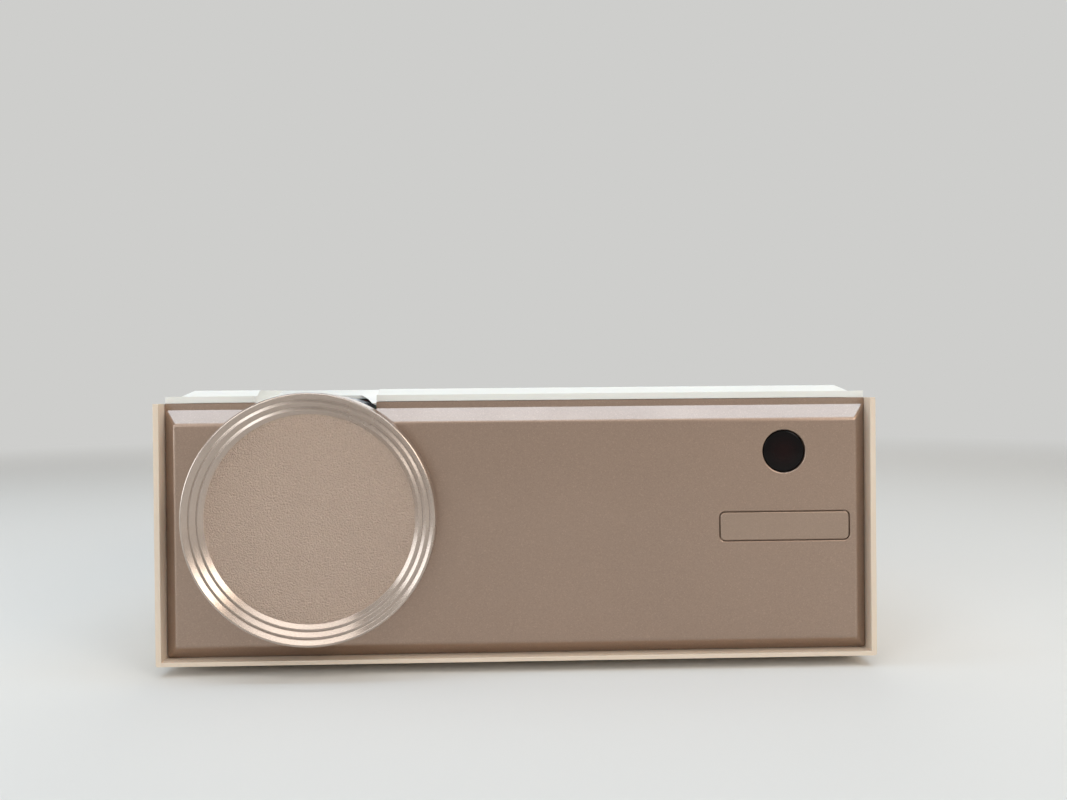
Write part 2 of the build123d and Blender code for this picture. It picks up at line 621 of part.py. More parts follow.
# ---- Disc drive ----
def drive_case():
    y = (drive_y - case_half - sheet, drive_y + case_half + sheet)
    case = block((case_x0, case_x1), y, (case_z0, case_z1))
    case -= block((case_x0 + sheet, case_x1 + 1), (y[0] + sheet, y[1] - sheet),
                  (case_z0 + sheet, case_z1 + 1))
    for x, side in drive_posts:
        edge = drive_y + side * (case_half + sheet)
        ends = sorted((edge - side * 0.2, edge + side * ear_out))
        case += block((x - ear_half, x + ear_half), ends, (ear_z, ear_z + sheet))
        case -= rod_z(x, edge + side * ear_out / 2, 1.6, (ear_z - 1, ear_z + 2))
    for side in (-1, 1):
        window = sorted((drive_y + side * tray_w * 0.08, drive_y + side * tray_w * 0.27))
        case -= block((case_x0 + 20, disc_x - 4), window, (case_z0 - 1, case_z0 + sheet + 0.5))
    return case


def drive_lid():
    y = (drive_y - case_half - sheet, drive_y + case_half + sheet)
    lid = block((case_x0, case_x1), y, (case_z1, case_z1 + lid_t))
    rib = ring_y(0, 0, disc_r - 8, disc_r - 10, (0, 0.6))
    return lid + Pos(disc_x, drive_y, case_z1 + lid_t) * Rot(90, 0, 0) * rib


def disc_tray():
    y = (drive_y - tray_w / 2, drive_y + tray_w / 2)
    tray = block((tray_x0, tray_x1), y, (tray_z0, tray_top))
    tray = fillet(tray.edges().filter_by(Axis.Z).group_by(Axis.X)[0], 6.0)
    tray -= rod_z(disc_x, drive_y, disc_r + recess_gap, (recess_z, tray_top + 1))
    for dx in (-1, 1):
        tray -= rod_z(disc_x + dx * disc_r, drive_y, 9.0, (recess_z, tray_top + 1)) & block(
            (tray_x0 + 1, tray_x1 - 1), y, (recess_z, tray_top + 1))
    tray -= block((tray_x0 + 10, tray_x1 - 2), (y[0] + 14, y[1] - 14), (tray_z0 - 1, skin_z))
    tray -= rod_z(disc_x, drive_y, motor_r + 1, (skin_z - 1, tray_top))
    window = (disc_x + motor_r - 3, disc_x + disc_r - 3)
    tray -= block(window, (drive_y - 16, drive_y + 16), (skin_z - 1, tray_top))
    for x, off in deck_corners():
        tray += rod_z(x, drive_y + off, 2.2, (deck_top, skin_z + 0.1))
    return tray


def deck_corners():
    """Where the tray's stand-offs meet the metal deck under it."""
    return [(disc_x - 18, -26), (disc_x - 18, 30), (disc_x + 6, -30), (tray_x1 - 8, -29)]


def deck_plate():
    """The metal chassis under the tray, with upright tabs for the rods and the lead screw."""
    x = (disc_x - 22, tray_x1 - 2.3)
    deck = block(x, (drive_y - 34, drive_y + 36), (deck_under, deck_top))
    deck -= block((rod_x0 + 1.4, rod_x1 - 1.4), (drive_y - 24, drive_y + 33), (deck_under - 1, deck_top + 1))
    bay = (drive_y + screw_off - sled_motor_r - 0.3, drive_y + screw_off + sled_motor_r + 0.3)
    deck -= block((rod_x0 - 13.3, rod_x0), bay, (deck_under - 1, deck_top + 1))
    for x0 in (rod_x0, rod_x1 - 1.2):
        tab = block((x0, x0 + 1.2), (drive_y - 24.5, drive_y + 33.5), (deck_top - 0.2, rod_z0 + 2.0))
        deck += tab
        for off in (-rod_half, rod_half):
            deck -= rod_x(drive_y + off, rod_z0, rod_r, (x0 - 1, x0 + 2))
        deck -= rod_x(drive_y + screw_off, rod_z0, screw_r + run_gap, (x0 - 1, x0 + 2))
    return deck


def guide_rods():
    rods = [rod_x(drive_y + off, rod_z0, rod_r, (rod_x0, rod_x1)) for off in (-rod_half, rod_half)]
    return Compound(children=rods)


def lead_screw():
    return rod_x(drive_y + screw_off, rod_z0, screw_r, (rod_x0 - 0.1, rod_x1 - 0.1))


def sled_motor():
    return rod_x(drive_y + screw_off, rod_z0, sled_motor_r, (rod_x0 - 13, rod_x0 - 0.2))


def pickup_sled():
    x = (sled_x0, sled_x0 + sled_len)
    z = (rod_z0 - sled_h / 2, rod_z0 + sled_h / 2)
    sled = block(x, (drive_y - rod_half - 2.2, drive_y + screw_off + 2.2), z)
    for off in (-rod_half, rod_half):
        sled -= rod_x(drive_y + off, rod_z0, rod_r + run_gap, (x[0] - 1, x[1] + 1))
    sled -= rod_x(drive_y + screw_off, rod_z0, screw_r + run_gap, (x[0] - 1, x[1] + 1))
    x_mid = sled_x0 + sled_len / 2
    return sled - rod_z(x_mid, drive_y, 3.0, (z[1] - 1.4, z[1] + 1))


def pickup_lens():
    x_mid, z1 = sled_x0 + sled_len / 2, rod_z0 + sled_h / 2
    return rod_z(x_mid, drive_y, 2.8, (z1 - 1.4, z1 + 0.6))


def spindle_motor():
    motor = rod_z(disc_x, drive_y, motor_r, (deck_top, deck_top + motor_h))
    return motor + rod_z(disc_x, drive_y, shaft_r, (deck_top + motor_h, tray_top + 0.2))


def turntable():
    """The flange carries the disc; the hub's three noses hold its centre hole."""
    z0 = deck_top + motor_h + 0.2
    z1 = recess_z + 0.6
    table = rod_z(disc_x, drive_y, hub_flange_r, (z0, z1))
    hub = rod_z(disc_x, drive_y, hub_r, (z1, tray_top + 0.7))
    table += chamfer(hub.edges().group_by(Axis.Z)[-1], 0.8)
    for turn in (0, 120, 240):
        table += Pos(disc_x, drive_y, z1 + 1.6) * Rot(0, 0, turn) * Pos(hub_r - 0.4, 0, 0) * Sphere(0.8)
    return table - rod_z(disc_x, drive_y, shaft_r + run_gap, (z0 - 1, tray_top + 2))


def tray_bezel():
    x = (body_w / 2 - bezel_t, body_w / 2)
    y = (drive_y - slot_half + 0.3, drive_y + slot_half - 0.3)
    bezel = block(x, y, (slot_z0 + 0.3, slot_z1 - 0.3))
    bezel = fillet(bezel.edges().group_by(Axis.X)[-1], 0.5)
    for off in (-50, 20):
        bezel += block((tray_x1, x[0] + 0.1), (drive_y + off - 5, drive_y + off + 5), (tray_z0 + 1, tray_top - 1.5))
    bezel -= block((x[0] - 1, x[1] + 1), (drive_y + eject_off - eject_w / 2 - slide_gap,
                                         drive_y + eject_off + eject_w / 2 + slide_gap),
                   (bezel_mid - eject_h / 2 - slide_gap, bezel_mid + eject_h / 2 + slide_gap))
    return bezel


def tray_eject_button():
    y = (drive_y + eject_off - eject_w / 2, drive_y + eject_off + eject_w / 2)
    z = (bezel_mid - eject_h / 2, bezel_mid + eject_h / 2)
    back_x = body_w / 2 - bezel_t
    button = block((back_x - 1, body_w / 2), y, z)
    return button + block((back_x - 1.3, back_x - 0.2), (y[0] - 1, y[1] + 1), (z[0] - 0.8, z[1] + 0.8))


def tray_rails():
    rails = []
    for side in (-1, 1):
        inner = drive_y + side * (tray_w / 2 + slide_gap)
        ends = sorted((inner, inner + side * rail_t))
        z = (tray_z0 + 2, tray_z0 + 2 + rail_h)
        rails.append(block((tray_x0, tray_x0 + rail_len), ends, z))
    return Compound(children=rails)


# ---- Boards, sockets and speaker ----
def chips(area, places):
    """Parts soldered on a board: each is (x, y, width, depth, height) from its low corner."""
    x0, y0 = area[0], area[2]
    return [block((x0 + x, x0 + x + w), (y0 + y, y0 + y + d), (board_top, board_top + h))
            for x, y, w, d, h in places]


def circuit_board(area):
    x0, x1, y0, y1 = area
    board = block((x0, x1), (y0, y1), (board_z, board_top))
    for x, y in board_holes(area):
        board -= rod_z(x, y, screw_hole_r, (board_z - 1, board_top + 1))
    return board


def main_board():
    board = circuit_board(main_area)
    for part in chips(main_area, ((30, 50, 22, 22, 2.5), (60, 30, 14, 18, 1.4), (12, 20, 10, 14, 1.6),
                                  (58, 66, 12, 12, 1.8), (14, 60, 8, 26, 6.0), (40, 14, 12, 5, 5.0))):
        board += part
    return board


def power_board():
    board = circuit_board(power_area)
    for part in chips(power_area, ((12, 34, 26, 22, 22.0), (12, 58, 10, 8, 24.0), (26, 58, 12, 8, 14.0),
                                   (12, 10, 28, 8, 18.0))):
        board += part
    return board + rod_z(power_area[0] + 35, power_area[2] + 27, 5.0, (board_top, board_top + 20))


def key_board():
    x = (key_x - key_board_w / 2, key_x + key_board_w / 2)
    y = (rim_y + key_y - key_board_d / 2, rim_y + key_y + key_board_d / 2)
    board = block(x, y, (key_board_z, key_board_z + board_t))
    for kx, ky, _ in key_layout().values():
        board += block((kx - 3, kx + 3), (ky - 3, ky + 3), (key_board_z + board_t, key_board_z + board_t + tact_h))
    return board


def disc_form(r):
    """A round key's outline, as a function of how much it is grown."""
    return lambda grow: Circle(r + grow)


def bar_form(w, d):
    """A long key's outline, as a function of how much it is grown."""
    return lambda grow: RectangleRounded(w + 2 * grow, d + 2 * grow, 2)


def key_layout():
    """Each key's middle and its outline."""
    y = rim_y + key_y
    return {"ok_key": (key_x, y, disc_form(6)),
            "up_key": (key_x, y + key_ring, bar_form(12, 6)),
            "down_key": (key_x, y - key_ring, bar_form(12, 6)),
            "left_key": (key_x - key_ring, y, bar_form(6, 12)),
            "right_key": (key_x + key_ring, y, bar_form(6, 12)),
            "power_key": (key_x - key_side, y - key_ring, disc_form(4.5)),
            "source_key": (key_x + key_side, y - key_ring, disc_form(4.5))}


def key_solid(x, y, form):
    top = plateau_top + key_proud
    foot = key_floor - 1.4
    key = Pos(x, y, key_floor - 0.1) * extrude(form(0), top - key_floor + 0.1)
    key = chamfer(key.edges().group_by(Axis.Z)[-1], 0.4)
    key += Pos(x, y, foot) * extrude(form(0.9), 1.3)
    stem = key_board_z + board_t + tact_h + key_push + 0.1
    return key + rod_z(x, y, 2.0, (stem, foot + 0.1))


def inlet_outline(grow):
    """Two round ends side by side, as a figure-of-eight inlet has."""
    r = inlet_r + grow
    return Rectangle(2 * inlet_half, 2 * r) + Pos(-inlet_half, 0) * Circle(r) + Pos(inlet_half, 0) * Circle(r)


def power_inlet():
    face = Pos(inlet_x, rear_y, base_z + inlet_z) * Rot(90, 0, 0)
    body = face * extrude(inlet_outline(0), inlet_deep)
    mouth = Rectangle(2 * inlet_half, 5.8)
    for dx in (-inlet_half, inlet_half):
        mouth += Pos(dx, 0) * Circle(pin_hole_r)
    body -= face * extrude(mouth, inlet_deep - 3)
    for dx in (-inlet_half, inlet_half):
        body += rod_y(inlet_x + dx, base_z + inlet_z, 1.2, (rear_y - inlet_deep + 1, rear_y - 4))
    flange = block((inlet_x - 12, inlet_x + 12), (rear_in - 2.2, rear_in),
                   (base_z + inlet_z - 7.5, base_z + inlet_z + 7.5))
    core = face * extrude(inlet_outline(-0.5), inlet_deep)
    return body + (flange - core)


def socket(x, w, h, mouth_w, mouth_h, tongue, deep):
    """A board-mounted socket in a metal shell, with its contact tongue inside."""
    z = base_z + port_z
    y = (rear_y - deep, rear_y)
    shell = block((x - w / 2, x + w / 2), y, (z - h / 2, z + h / 2))
    shell -= block((x - mouth_w / 2, x + mouth_w / 2), (y[0] + 2, y[1] + 1), (z - mouth_h / 2, z + mouth_h / 2))
    shell += block((x - mouth_w / 2 + 1.5, x + mouth_w / 2 - 1.5), (y[0] + 1, y[1] - 2),
                   (z - tongue / 2, z + tongue / 2))
    return shell + block((x - w / 2, x + w / 2), (y[0], rear_in - 2), (board_top, z - h / 2 + 0.5))


def hdmi_socket():
    return socket(hdmi_x, hdmi_w, hdmi_h, hdmi_w - 1.2, hdmi_h - 1.4, 1.2, 12.0)


def usb_sockets():
    return Compound(children=[socket(x, usb_w, usb_h, usb_w - 1.9, usb_h - 1.8, 1.8, 14.0) for x in (usb_x0, usb_x1)])


def vga_socket():
    z = base_z + port_z
    shell = socket(vga_x, vga_w, vga_h, vga_w - 1.6, vga_h - 1.4, 5.6, 12.0)
    for dx in (-3.5, 0, 3.5):
        for dz in (-1.6, 1.6):
            shell -= rod_y(vga_x + dx, z + dz, 0.5, (rear_y - 6, rear_y))
    return shell


def audio_jack():
    z = base_z + port_z
    y = (rear_y - 15, rear_y)
    body = block((jack_x - 4.5, jack_x + 4.5), (y[0], rear_in - 0.2), (board_top, z + 4.5))
    body += rod_y(jack_x, z, jack_nose_r, (rear_in - 1, y[1]))
    return body - rod_y(jack_x, z, jack_bore_r, (y[1] - jack_deep, y[1] + 1))


def speaker():
    y1 = rear_in
    rim = ring_y(speaker_x, speaker_z, speaker_r + 3, speaker_r - 1, (y1 - 3, y1))
    plane = Plane(origin=(speaker_x, y1 - 3, speaker_z), x_dir=(1, 0, 0), z_dir=(0, -1, 0))
    cone = loft([plane * Circle(speaker_r + 1), plane.offset(10) * Circle(9)])
    cone -= loft([plane.offset(-0.01) * Circle(speaker_r - 0.6), plane.offset(8.6) * Circle(7)])
    magnet = rod_y(speaker_x, speaker_z, 12.0, (y1 - 20, y1 - 13))
    return rim + cone + magnet


PIECES = {
    "base_shell": base_shell, "top_cover": top_cover, "front_panel": front_panel,
    "rear_panel": rear_panel, "badge_plate": badge_plate, "ir_window": ir_window,
    "rubber_feet": rubber_feet, "case_screws": case_screws, "tripod_insert": tripod_insert,
    "front_foot_pad": front_foot_pad, "front_foot_screw": front_foot_screw,
    "lens_cap": lens_cap, "lens_bezel": lens_bezel, "lens_tube": lens_tube,
    "lens_barrel": lens_barrel, "focus_ring": focus_ring, "focus_pin": focus_pin,
    "front_element": front_element, "rear_element": rear_element, "engine_case": engine_case,
    "field_lens_front": lambda: field_lens(0), "lcd_panel": lcd_panel,
    "field_lens_rear": lambda: field_lens(2), "heat_glass": lambda: engine_plate(3),
    "condenser_lens": condenser_lens, "led_module": led_module, "heat_sink": heat_sink,
    "fan_frame": fan_frame, "fan_rotor": fan_rotor, "drive_case": drive_case,
    "drive_lid": drive_lid, "disc_tray": disc_tray, "deck_plate": deck_plate,
    "guide_rods": guide_rods, "lead_screw": lead_screw, "sled_motor": sled_motor,
    "pickup_sled": pickup_sled, "pickup_lens": pickup_lens, "spindle_motor": spindle_motor,
    "turntable": turntable, "tray_bezel": tray_bezel, "tray_eject_button": tray_eject_button,
    "tray_rails": tray_rails, "main_board": main_board, "power_board": power_board,
    "key_board": key_board, "standoffs": standoffs, "power_inlet": power_inlet, "hdmi_socket": hdmi_socket,
    "usb_sockets": usb_sockets, "vga_socket": vga_socket, "audio_jack": audio_jack,
    "speaker": speaker,
}

os.makedirs("parts", exist_ok=True)
for node, make in PIECES.items():
    export_step(make(), f"parts/{node}.step")
for node, (x, y, form) in key_layout().items():
    export_step(key_solid(x, y, form), f"parts/{node}.step")
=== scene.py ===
"""A box-shaped projector with a slim disc player in its side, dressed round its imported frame.

Lengths are metres in the frame's own axes: X to the right, Y to the back, Z up.
"""
from __future__ import annotations

import logging
import math
from contextlib import contextmanager
from dataclasses import dataclass
from enum import Enum
from typing import Callable, Iterator, Sequence

import bmesh
import bpy
from mathutils import Matrix, Vector


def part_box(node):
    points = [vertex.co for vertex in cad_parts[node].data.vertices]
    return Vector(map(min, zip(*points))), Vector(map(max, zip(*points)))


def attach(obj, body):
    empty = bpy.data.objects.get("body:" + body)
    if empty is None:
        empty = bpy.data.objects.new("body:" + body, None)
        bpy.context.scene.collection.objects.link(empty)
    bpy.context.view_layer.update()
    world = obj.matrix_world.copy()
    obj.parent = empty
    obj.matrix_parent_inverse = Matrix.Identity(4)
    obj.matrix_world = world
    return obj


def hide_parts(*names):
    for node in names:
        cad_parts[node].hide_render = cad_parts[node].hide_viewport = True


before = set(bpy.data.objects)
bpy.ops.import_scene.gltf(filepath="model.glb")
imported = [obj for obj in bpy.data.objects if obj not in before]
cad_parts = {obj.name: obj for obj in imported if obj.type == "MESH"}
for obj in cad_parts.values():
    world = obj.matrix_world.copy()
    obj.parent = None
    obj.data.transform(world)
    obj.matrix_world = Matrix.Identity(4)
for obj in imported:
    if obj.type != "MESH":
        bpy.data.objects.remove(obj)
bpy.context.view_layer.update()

LOG = logging.getLogger("projector")
MM = 0.001
SAME = 1e-6      # two lengths this near each other count as the same
NEAR = 1e-5      # a point this near a plane counts as lying on it
FACING = 0.9     # the least share of a normal along an axis for a face that looks along it
OVER = 1 * MM    # how far a cutter reaches past what it cuts

Piece = bpy.types.Object
Node = bpy.types.Node
Socket = bpy.types.NodeSocket
Material = bpy.types.Material
Place = Sequence[float]
Colour = tuple[int, int, int]
Pair = tuple[float, float]
Names = tuple[str, ...]


# ---- Shaping by hand: small wrappers on the modelling operators ----
class Along(Enum):
    """The frame axis that a round primitive stands on, as the turn that gives it."""

    Y = (math.pi / 2, 0.0, 0.0)
    Z = (0.0, 0.0, 0.0)


class Blend(Enum):
    """What a Boolean modifier makes of two shapes."""

    CUT = "DIFFERENCE"
    FUSE = "UNION"
    SHARE = "INTERSECT"


def take(piece: Piece) -> None:
    """Selects one object alone and makes it active.

    Args:
        piece: the object to work on.
    """
    if bpy.context.mode != "OBJECT":
        bpy.ops.object.mode_set(mode="OBJECT")
    bpy.ops.object.select_all(action="DESELECT")
    piece.select_set(True)
    bpy.context.view_layer.objects.active = piece


def settle(name: str) -> Piece:
    """Names the new object, and moves its place, turn and size into its mesh.

    Args:
        name: the object's name.

    Returns:
        The object, at the origin.
    """
    piece = bpy.context.object
    piece.name = name
    take(piece)
    bpy.ops.object.transform_apply(location=True, rotation=True, scale=True)
    return piece


def add_block(name: str, low: Place, high: Place) -> Piece:
    """Adds a box between two corners.

    Args:
        name: the new object's name.
        low: its lowest corner.
        high: its highest corner.

    Returns:
        The box, settled.
    """
    low, high = Vector(low), Vector(high)
    bpy.ops.mesh.primitive_cube_add(size=1.0, location=(low + high) / 2)
    bpy.context.object.scale = high - low
    return settle(name)


def add_drum(name: str, centre: Place, radius: float, length: float, along: Along,
             sides: int) -> Piece:
    """Adds a cylinder about its middle.

    Args:
        name: the new object's name.
        centre: its middle point.
        radius: its radius.
        length: its length along the axis.
        along: the axis that it stands on.
        sides: how many flats its wall has.

    Returns:
        The cylinder, settled.
    """
    bpy.ops.mesh.primitive_cylinder_add(vertices=sides, radius=radius, depth=length,
                                        location=centre, rotation=along.value)
    return settle(name)


@contextmanager
def editing(piece: Piece) -> Iterator[None]:
    """Stays in edit mode for a while, from the start with nothing selected.

    Args:
        piece: the object to edit.
    """
    take(piece)
    bpy.ops.object.mode_set(mode="EDIT")
    bpy.ops.mesh.select_all(action="DESELECT")
    yield
    bpy.ops.object.mode_set(mode="OBJECT")


def pick(piece: Piece, kind: str, members: str, test: Callable[[object], bool]) -> None:
    """Selects the faces, edges or vertices that pass a test, in edit mode.

    Args:
        piece: the object in edit mode.
        kind: the selection mode.
        members: what the mesh calls its members of that kind.
        test: takes one member.
    """
    mesh = bmesh.from_edit_mesh(piece.data)
    bpy.ops.mesh.select_mode(type=kind)
    bpy.ops.mesh.select_all(action="DESELECT")
    for member in getattr(mesh, members):
        member.select_set(test(member))
    bmesh.update_edit_mesh(piece.data)


def pick_faces(piece: Piece, test: Callable[[Vector, Vector], bool]) -> None:
    """Selects the faces whose middle and normal pass a test."""
    pick(piece, "FACE", "faces", lambda face: test(face.calc_center_median(), face.normal))


def pick_edges(piece: Piece, test: Callable[[Vector, Vector], bool]) -> None:
    """Selects the edges whose two ends pass a test."""
    pick(piece, "EDGE", "edges", lambda edge: test(edge.verts[0].co, edge.verts[1].co))


def pick_points(piece: Piece, test: Callable[[Vector], bool]) -> None:
    """Selects the vertices whose place passes a test."""
    pick(piece, "VERT", "verts", lambda point: test(point.co))


def faces_front(_: Vector, normal: Vector) -> bool:
    """True for a face that looks to the front."""
    return normal.y < -FACING


def faces_up(_: Vector, normal: Vector) -> bool:
    """True for a face that looks up."""
    return normal.z > FACING


def runs_along(axis: int) -> Callable[[Vector, Vector], bool]:
    """Gives the test for edges that run along one axis, 0 to 2."""
    others = [other for other in range(3) if other != axis]
    return lambda a, b: all(abs(a[other] - b[other]) < SAME for other in others)


def shift(x: float = 0.0, y: float = 0.0, z: float = 0.0) -> None:
    """Moves what is selected in edit mode."""
    bpy.ops.transform.translate(value=(x, y, z))


def inset(width: float, depth: float = 0.0) -> None:
    """Insets the selected faces."""
    bpy.ops.mesh.inset(thickness=width, depth=depth)


def extrude(x: float = 0.0, y: float = 0.0, z: float = 0.0) -> None:
    """Draws the selection out into new faces."""
    bpy.ops.mesh.extrude_region_move(TRANSFORM_OT_translate={"value": (x, y, z)})


def round_edges(piece: Piece, test: Callable[[Vector, Vector], bool], width: float,
                segments: int) -> None:
    """Rounds the edges that pass a test, in edit mode."""
    pick_edges(piece, test)
    bpy.ops.mesh.bevel(offset=width, segments=segments, affect="EDGES")


def combine(piece: Piece, other: Piece, how: Blend) -> Piece:
    """Applies one Boolean modifier and deletes its second shape.

    Args:
        piece: the object that is kept.
        other: the shape it is combined with.
        how: what is made of the two.

    Returns:
        The kept object.
    """
    take(piece)
    modifier = piece.modifiers.new("shape", "BOOLEAN")
    modifier.operation = how.value
    modifier.solver = "EXACT"
    modifier.object = other
    bpy.ops.object.modifier_apply(modifier=modifier.name)
    bpy.data.objects.remove(other, do_unlink=True)
    return piece


def fuse(piece: Piece, extra: Piece) -> None:
    """Adds a second shape to a piece."""
    combine(piece, extra, Blend.FUSE)


def cut_away(piece: Piece, cutter: Piece) -> None:
    """Takes one shape out of another, and removes the cutter."""
    combine(piece, cutter, Blend.CUT)


def cut_block(piece: Piece, low: Place, high: Place) -> None:
    """Takes a box out of a piece."""
    cut_away(piece, add_block("cutter", low, high))


def drill(piece: Piece, centre: Place, radius: float, length: float, along: Along,
          sides: int) -> None:
    """Takes a cylinder out of a piece."""
    cut_away(piece, add_drum("cutter", centre, radius, length, along, sides))


def join_all(name: str, first: Piece, *others: Piece) -> Piece:
    """Joins separate shapes into one object.

    Args:
        name: the joined object's name.
        first: the shape that the others join.
        *others: the other shapes.

    Returns:
        The joined object.
    """
    take(first)
    for piece in others:
        piece.select_set(True)
    bpy.ops.object.join()
    first.name = name
    return first


def soften(piece: Piece, width: float, segments: int = 3, angle: float = 28.0) -> None:
    """Rounds every edge sharper than an angle, and shades the rest smooth.

    Args:
        piece: the object to round.
        width: the rounding's width.
        segments: how many flats it has.
        angle: the least angle, in degrees, that is rounded.
    """
    take(piece)
    bevel = piece.modifiers.new("rounding", "BEVEL")
    bevel.width = width
    bevel.segments = segments
    bevel.limit_method = "ANGLE"
    bevel.angle_limit = math.radians(angle)
    bevel.use_clamp_overlap = True
    bevel.miter_outer = "MITER_ARC"
    bpy.ops.object.modifier_apply(modifier=bevel.name)
    shade(piece)


def shade(piece: Piece, angle: float = 35.0) -> None:
    """Shades a piece smooth, with its large flat faces kept flat.

    Args:
        piece: the object to shade.
        angle: the least angle, in degrees, that stays a hard edge.
    """
    take(piece)
    bpy.ops.object.shade_smooth_by_angle(angle=math.radians(angle))
    weights = piece.modifiers.new("flat_faces", "WEIGHTED_NORMAL")
    weights.weight = 100
    weights.keep_sharp = True
    bpy.ops.object.modifier_apply(modifier=weights.name)


def clean(piece: Piece) -> None:
    """Merges doubles and flat faces, and turns the normals outwards.

    Args:
        piece: the object to clean.
    """
    with editing(piece):
        bpy.ops.mesh.select_all(action="SELECT")
        bpy.ops.mesh.remove_doubles(threshold=0.004 * MM)
        bpy.ops.mesh.dissolve_limited(angle_limit=math.radians(0.6))
        bpy.ops.mesh.normals_make_consistent(inside=False)


def corners(node: str) -> tuple[Vector, Vector]:
    """The lowest and highest corners of a frame node's box."""
    low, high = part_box(node)
    return Vector(low), Vector(high)


def middle(node: str) -> Vector:
    """The middle of a frame node's box."""
    low, high = corners(node)
    return (low + high) / 2


# ---- Node trees ----
class Canvas:
    """A node tree that is filled by short calls."""

    def __init__(self, tree: bpy.types.NodeTree) -> None:
        """Empties a tree and keeps it."""
        self.tree = tree
        tree.nodes.clear()

    def feed(self, node: Node, inputs: dict) -> Node:
        """Sets or links a node's inputs.

        Args:
            node: the node.
            inputs: values or sockets for its inputs, by socket name or number.

        Returns:
            The same node.
        """
        for key, value in inputs.items():
            if isinstance(value, Socket):
                self.tree.links.new(value, node.inputs[key])
            else:
                node.inputs[key].default_value = value
        return node

    def add(self, kind: str, inputs: dict | None = None, **settings: object) -> Node:
        """Adds a node.

        Args:
            kind: the node's type name.
            inputs: values or sockets for its inputs.
            **settings: the node's own properties.

        Returns:
            The new node.
        """
        node = self.tree.nodes.new(kind)
        for key, value in settings.items():
            setattr(node, key, value)
        return self.feed(node, inputs or {})

    def place(self) -> Socket:
        """Adds the object's own coordinates."""
        return self.add("ShaderNodeTexCoord").outputs["Object"]

    def math(self, operation: str, first: object, second: object = 0.0) -> Socket:
        """Adds a Math node."""
        return self.add("ShaderNodeMath", {0: first, 1: second}, operation=operation).outputs[0]

    def span(self, value: object, low: float, high: float, to_low: float = 0.0,
             to_high: float = 1.0, **settings: object) -> Socket:
        """Maps a value from one range to another.

        Args:
            value: the value or socket.
            low: the start of its range.
            high: the end of its range.
            to_low: what low becomes.
            to_high: what high becomes.
            **settings: the node's own properties.

        Returns:
            The mapped value.
        """
        return self.add("ShaderNodeMapRange", {0: value, 1: low, 2: high, 3: to_low, 4: to_high},
                        **settings).outputs[0]

    def tint(self, colour: object, factor: object) -> Socket:
        """Multiplies a colour's lightness."""
        return self.add("ShaderNodeHueSaturation", {"Value": factor, "Color": colour}).outputs[0]

    def noise(self, place: object, scale: object, detail: float) -> Socket:
        """Adds a noise texture, with a number of waves in a metre and of octaves."""
        return self.add("ShaderNodeTexNoise",
                        {"Vector": place, "Scale": scale, "Detail": detail}).outputs[0]

    def bump(self, strength: object, distance: object, height: object) -> Socket:
        """Adds a Bump node."""
        return self.add("ShaderNodeBump", {"Strength": strength, "Distance": distance,
                                           "Height": height}).outputs[0]


NUMBER = "NodeSocketFloat"
COLOUR = "NodeSocketColor"
ARROW = "NodeSocketVector"
SKIN = {"Color": "Base Color", "Roughness": "Roughness", "Normal": "Normal"}
SMUDGE = (0.35, 0.7)


def start_group(name: str, colour: Place, numbers: dict[str, float]) \
        -> tuple[Canvas, object, Node]:
    """Makes an empty node group that gives a skin's colour, roughness and normal.

    Args:
        name: the group's name.
        colour: the value of its colour input.
        numbers: its other inputs and their values.

    Returns:
        Its canvas, its input node's outputs and its output node.
    """
    group = bpy.data.node_groups.new(name, "ShaderNodeTree")
    inputs = [(COLOUR, "Color", colour)]
    inputs += [(NUMBER, label, value) for label, value in numbers.items()]
    for kind, label, value in inputs:
        socket = group.interface.new_socket(name=label, in_out="INPUT", socket_type=kind)
        socket.default_value = value
    for kind, label in zip((COLOUR, NUMBER, ARROW), SKIN):
        group.interface.new_socket(name=label, in_out="OUTPUT", socket_type=kind)
    canvas = Canvas(group)
    return canvas, canvas.add("NodeGroupInput").outputs, canvas.add("NodeGroupOutput")


def handled_gloss(canvas: Canvas, given: object, smudge: object) -> Socket:
    """Varies the roughness between a group's two limits, as handling does.

    Args:
        canvas: the group's canvas.
        given: the group's inputs.
        smudge: the pattern that says where.

    Returns:
        The roughness.
    """
    mask = canvas.span(smudge, *SMUDGE)
    width = canvas.math("SUBTRACT", given["Gloss High"], given["Gloss Low"])
    return canvas.math("ADD", canvas.math("MULTIPLY", mask, width), given["Gloss Low"])


def moulded_grain() -> bpy.types.ShaderNodeTree:
    """Spark-eroded plastic: a fine pebbled skin, slight mottling and faint handling marks.

    Returns:
        The node group.
    """
    canvas, given, made = start_group("moulded_grain", (0.8, 0.8, 0.8, 1.0), {
        "Mottle": 0.03, "Grain Scale": 3500.0, "Grain Depth": 0.05,
        "Gloss Low": 0.4, "Gloss High": 0.5})
    place = canvas.place()
    cloud = canvas.noise(place, scale=22.0, detail=4.0)
    swing = canvas.math("MULTIPLY", canvas.math("SUBTRACT", cloud, 0.5), given["Mottle"])
    pebble = canvas.noise(place, given["Grain Scale"], detail=2.0)
    canvas.feed(made, {
        "Color": canvas.tint(given["Color"], canvas.math("ADD", swing, 1.0)),
        "Roughness": handled_gloss(canvas, given, canvas.noise(place, scale=60.0, detail=6.0)),
        "Normal": canvas.bump(given["Grain Depth"], distance=0.2 * MM, height=pebble)})
    return canvas.tree


